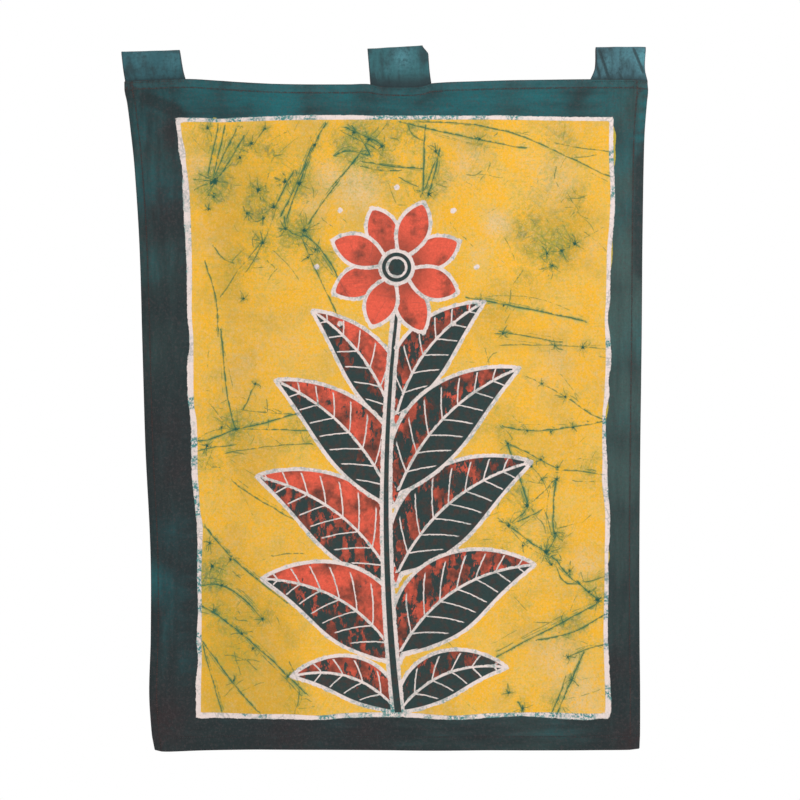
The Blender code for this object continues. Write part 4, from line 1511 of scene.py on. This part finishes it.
def seam_path(seam, behind):
    length = math.hypot(seam.end_side - seam.start_side, seam.end_fall - seam.start_fall)
    share = np.linspace(0, 1, max(8, int(length / 3)))
    side = seam.start_side + (seam.end_side - seam.start_side) * share
    fall = seam.start_fall + (seam.end_fall - seam.start_fall) * share
    x, y, z = front_points(side, fall)
    if behind:
        tail_back = TAIL_PITCH / 2 + TAB_THICK / 2
        under_tab = seam.name.endswith("foot")
        y = tail_back + cloth_depth(x, fall) + 0.08 if under_tab else y + HEM_BACK + 0.02
    else:
        y = y - 0.05
    return np.stack([x, y, z], axis=1)


def stitch_tree():
    """Geometry nodes that lay small thread humps end to end along loose edges."""
    tree = bpy.data.node_groups.new("laid_stitches", "GeometryNodeTree")
    new_socket = tree.interface.new_socket
    new_socket(name="Geometry", in_out="INPUT", socket_type="NodeSocketGeometry")
    kinds = {"Pitch": "Float", "Length": "Float", "Half": "Float", "Seed": "Int", "Thread": "Material"}
    sockets = {
        name: new_socket(name=name, in_out="INPUT", socket_type="NodeSocket" + kind)
        for name, kind in kinds.items()
    }
    new_socket(name="Geometry", in_out="OUTPUT", socket_type="NodeSocketGeometry")
    graph = Graph(tree)
    given = graph.add("NodeGroupInput").outputs
    curve = graph.add("GeometryNodeMeshToCurve")
    graph.feed(curve.inputs["Mesh"], given["Geometry"])
    spaced = graph.add("GeometryNodeResampleCurve", mode="LENGTH")
    graph.feed(spaced.inputs["Curve"], curve.outputs[0])
    graph.feed(spaced.inputs["Length"], given["Pitch"])
    hump = graph.add("GeometryNodeMeshUVSphere")
    hump.inputs["Segments"].default_value = 6
    hump.inputs["Rings"].default_value = 5
    hump.inputs["Radius"].default_value = 1.0
    size = graph.vector(graph.times(given["Length"], 0.5), given["Half"], given["Half"])
    turned = graph.add("FunctionNodeAlignRotationToVector", axis="X")
    graph.feed(turned.inputs["Vector"], graph.add("GeometryNodeInputTangent").outputs[0])
    varied = graph.add("FunctionNodeRandomValue", data_type="FLOAT_VECTOR")
    varied.inputs[0].default_value = (0.80, 0.85, 0.85)
    varied.inputs[1].default_value = (1.10, 1.15, 1.15)
    graph.feed(varied.inputs["Seed"], given["Seed"])
    sized = graph.add("ShaderNodeVectorMath", operation="MULTIPLY")
    graph.feed(sized.inputs[0], size)
    graph.feed(sized.inputs[1], varied.outputs[0])
    laid = graph.add("GeometryNodeInstanceOnPoints")
    graph.feed(laid.inputs["Points"], spaced.outputs[0])
    graph.feed(laid.inputs["Instance"], hump.outputs[0])
    graph.feed(laid.inputs["Rotation"], turned.outputs[0])
    graph.feed(laid.inputs["Scale"], sized.outputs[0])
    real = graph.add("GeometryNodeRealizeInstances")
    graph.feed(real.inputs[0], laid.outputs[0])
    smooth = graph.add("GeometryNodeSetShadeSmooth")
    graph.feed(smooth.inputs["Geometry"], real.outputs[0])
    finished = graph.add("GeometryNodeSetMaterial")
    graph.feed(finished.inputs["Geometry"], smooth.outputs[0])
    graph.feed(finished.inputs["Material"], given["Thread"])
    graph.feed(graph.add("NodeGroupOutput").inputs[0], finished.outputs[0])
    return tree, {name: socket.identifier for name, socket in sockets.items()}


def thread_material(name, dull, bright):
    material, graph, shader = new_material(name)
    place = graph.add("ShaderNodeTexCoord").outputs["Object"]
    worn = graph.noise(place, 180.0, 3.0, 0.6)
    graph.feed(shader.inputs["Base Color"], graph.mix(graph.ease(worn, 0.35, 0.65), dull, bright))
    shader.inputs["Roughness"].default_value = 0.8
    shader.inputs["Specular IOR Level"].default_value = 0.3
    return material


STITCHES, STITCH_SOCKETS = stitch_tree()
THREADS = {
    "brown": thread_material("brown_thread", (0.045, 0.024, 0.020, 1.0), (0.110, 0.048, 0.034, 1.0)),
    "dark": thread_material("dark_thread", (0.014, 0.030, 0.032, 1.0), (0.028, 0.070, 0.072, 1.0)),
}


def sewn(name, seams, behind, tone):
    """All the rows of one thread on one face, as one plain mesh."""
    points, edges = [], []
    for seam in seams:
        path = seam_path(seam, behind) * MM
        start = len(points)
        points += path.tolist()
        edges += [(start + n, start + n + 1) for n in range(len(path) - 1)]
    guide_mesh = bpy.data.meshes.new(name + "_guide")
    guide_mesh.from_pydata(points, edges, [])
    guide = shown(name + "_guide", guide_mesh)
    laying = guide.modifiers.new("stitches", "NODES")
    laying.node_group = STITCHES
    for label, size in (("Pitch", STITCH_PITCH), ("Length", STITCH_LENGTH), ("Half", STITCH_HALF)):
        laying[STITCH_SOCKETS[label]] = size * MM
    laying[STITCH_SOCKETS["Seed"]] = 5 if behind else 3
    laying[STITCH_SOCKETS["Thread"]] = THREADS[tone]
    evaluated = guide.evaluated_get(bpy.context.evaluated_depsgraph_get())
    mesh = bpy.data.meshes.new_from_object(evaluated)
    bpy.data.objects.remove(guide, do_unlink=True)
    stitches = shown(name, mesh)
    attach(stitches, "root")
    return stitches


stitching = []
for behind, face in ((False, "front"), (True, "back")):
    for tone in THREADS:
        seams = [seam for seam in SEAMS if seam.tone == tone]
        stitching.append(sewn(f"{tone}_stitches_{face}", seams, behind, tone))

# Stage
# A pale studio with a floor far below the hanging, soft light from all round and one large soft
# light from the upper right, and a level camera square to the cloth.

FLOOR_HEIGHT = -1.2
FLOOR_RADIUS = 2.6


def build_floor():
    ring = 96
    angles = np.linspace(0, 2 * math.pi, ring, endpoint=False)
    points = [(FLOOR_RADIUS * math.cos(a), FLOOR_RADIUS * math.sin(a), FLOOR_HEIGHT) for a in angles]
    mesh = bpy.data.meshes.new("studio_floor")
    mesh.from_pydata(points, [], [list(range(ring))])
    floor = shown("studio_floor", mesh)
    material, graph, shader = new_material("pale_floor")
    place = graph.add("ShaderNodeTexCoord").outputs["Object"]
    across, deep, _ = graph.parts(place)
    away = graph.length(across, deep)
    cloudy = graph.noise(place, 2.0, 2.0, 0.5)
    colour = graph.mix(cloudy, (0.86, 0.86, 0.86, 1.0), (0.90, 0.90, 0.90, 1.0))
    graph.feed(shader.inputs["Base Color"], colour)
    shader.inputs["Roughness"].default_value = 0.9
    graph.feed(shader.inputs["Alpha"], graph.ease(away, FLOOR_RADIUS * 0.97, FLOOR_RADIUS * 0.45))
    mesh.materials.append(material)


def build_world():
    """White behind the object, and a weaker even light on it."""
    world = bpy.data.worlds.new("pale_studio")
    bpy.context.scene.world = world
    world.use_nodes = True
    graph = Graph(world.node_tree)
    lit = world.node_tree.nodes["Background"]
    lit.inputs["Color"].default_value = (1.0, 1.0, 1.0, 1.0)
    seen = graph.add("ShaderNodeLightPath").outputs["Is Camera Ray"]
    graph.feed(lit.inputs["Strength"], graph.scaled(seen, 0.42, 0.58))


def build_light(name, place, size, power):
    light = bpy.data.lights.new(name, "AREA")
    light.shape = "DISK"
    light.size = size
    light.energy = power
    obj = bpy.data.objects.new(name, light)
    bpy.context.scene.collection.objects.link(obj)
    obj.location = place
    aim = Vector((0.0, 0.0, -0.4)) - Vector(place)
    obj.rotation_euler = aim.to_track_quat("-Z", "Y").to_euler()


build_floor()
build_world()
build_light("key_light", (1.6, -2.0, 0.9), 1.1, 46.0)
build_light("fill_light", (-2.2, -2.4, -0.2), 1.8, 10.0)
build_light("back_light", (0.6, 2.6, 0.6), 1.6, 30.0)

camera_data = bpy.data.cameras.new("camera")
camera_data.lens = 135.0
camera_data.sensor_width = 36.0
camera = bpy.data.objects.new("camera", camera_data)
bpy.context.scene.collection.objects.link(camera)
camera.location = (0.0089, -3.4500, -0.3986)
camera.rotation_euler = (math.pi / 2, 0.0, 0.0)
bpy.context.scene.camera = camera
bpy.context.scene.view_settings.view_transform = "Standard"
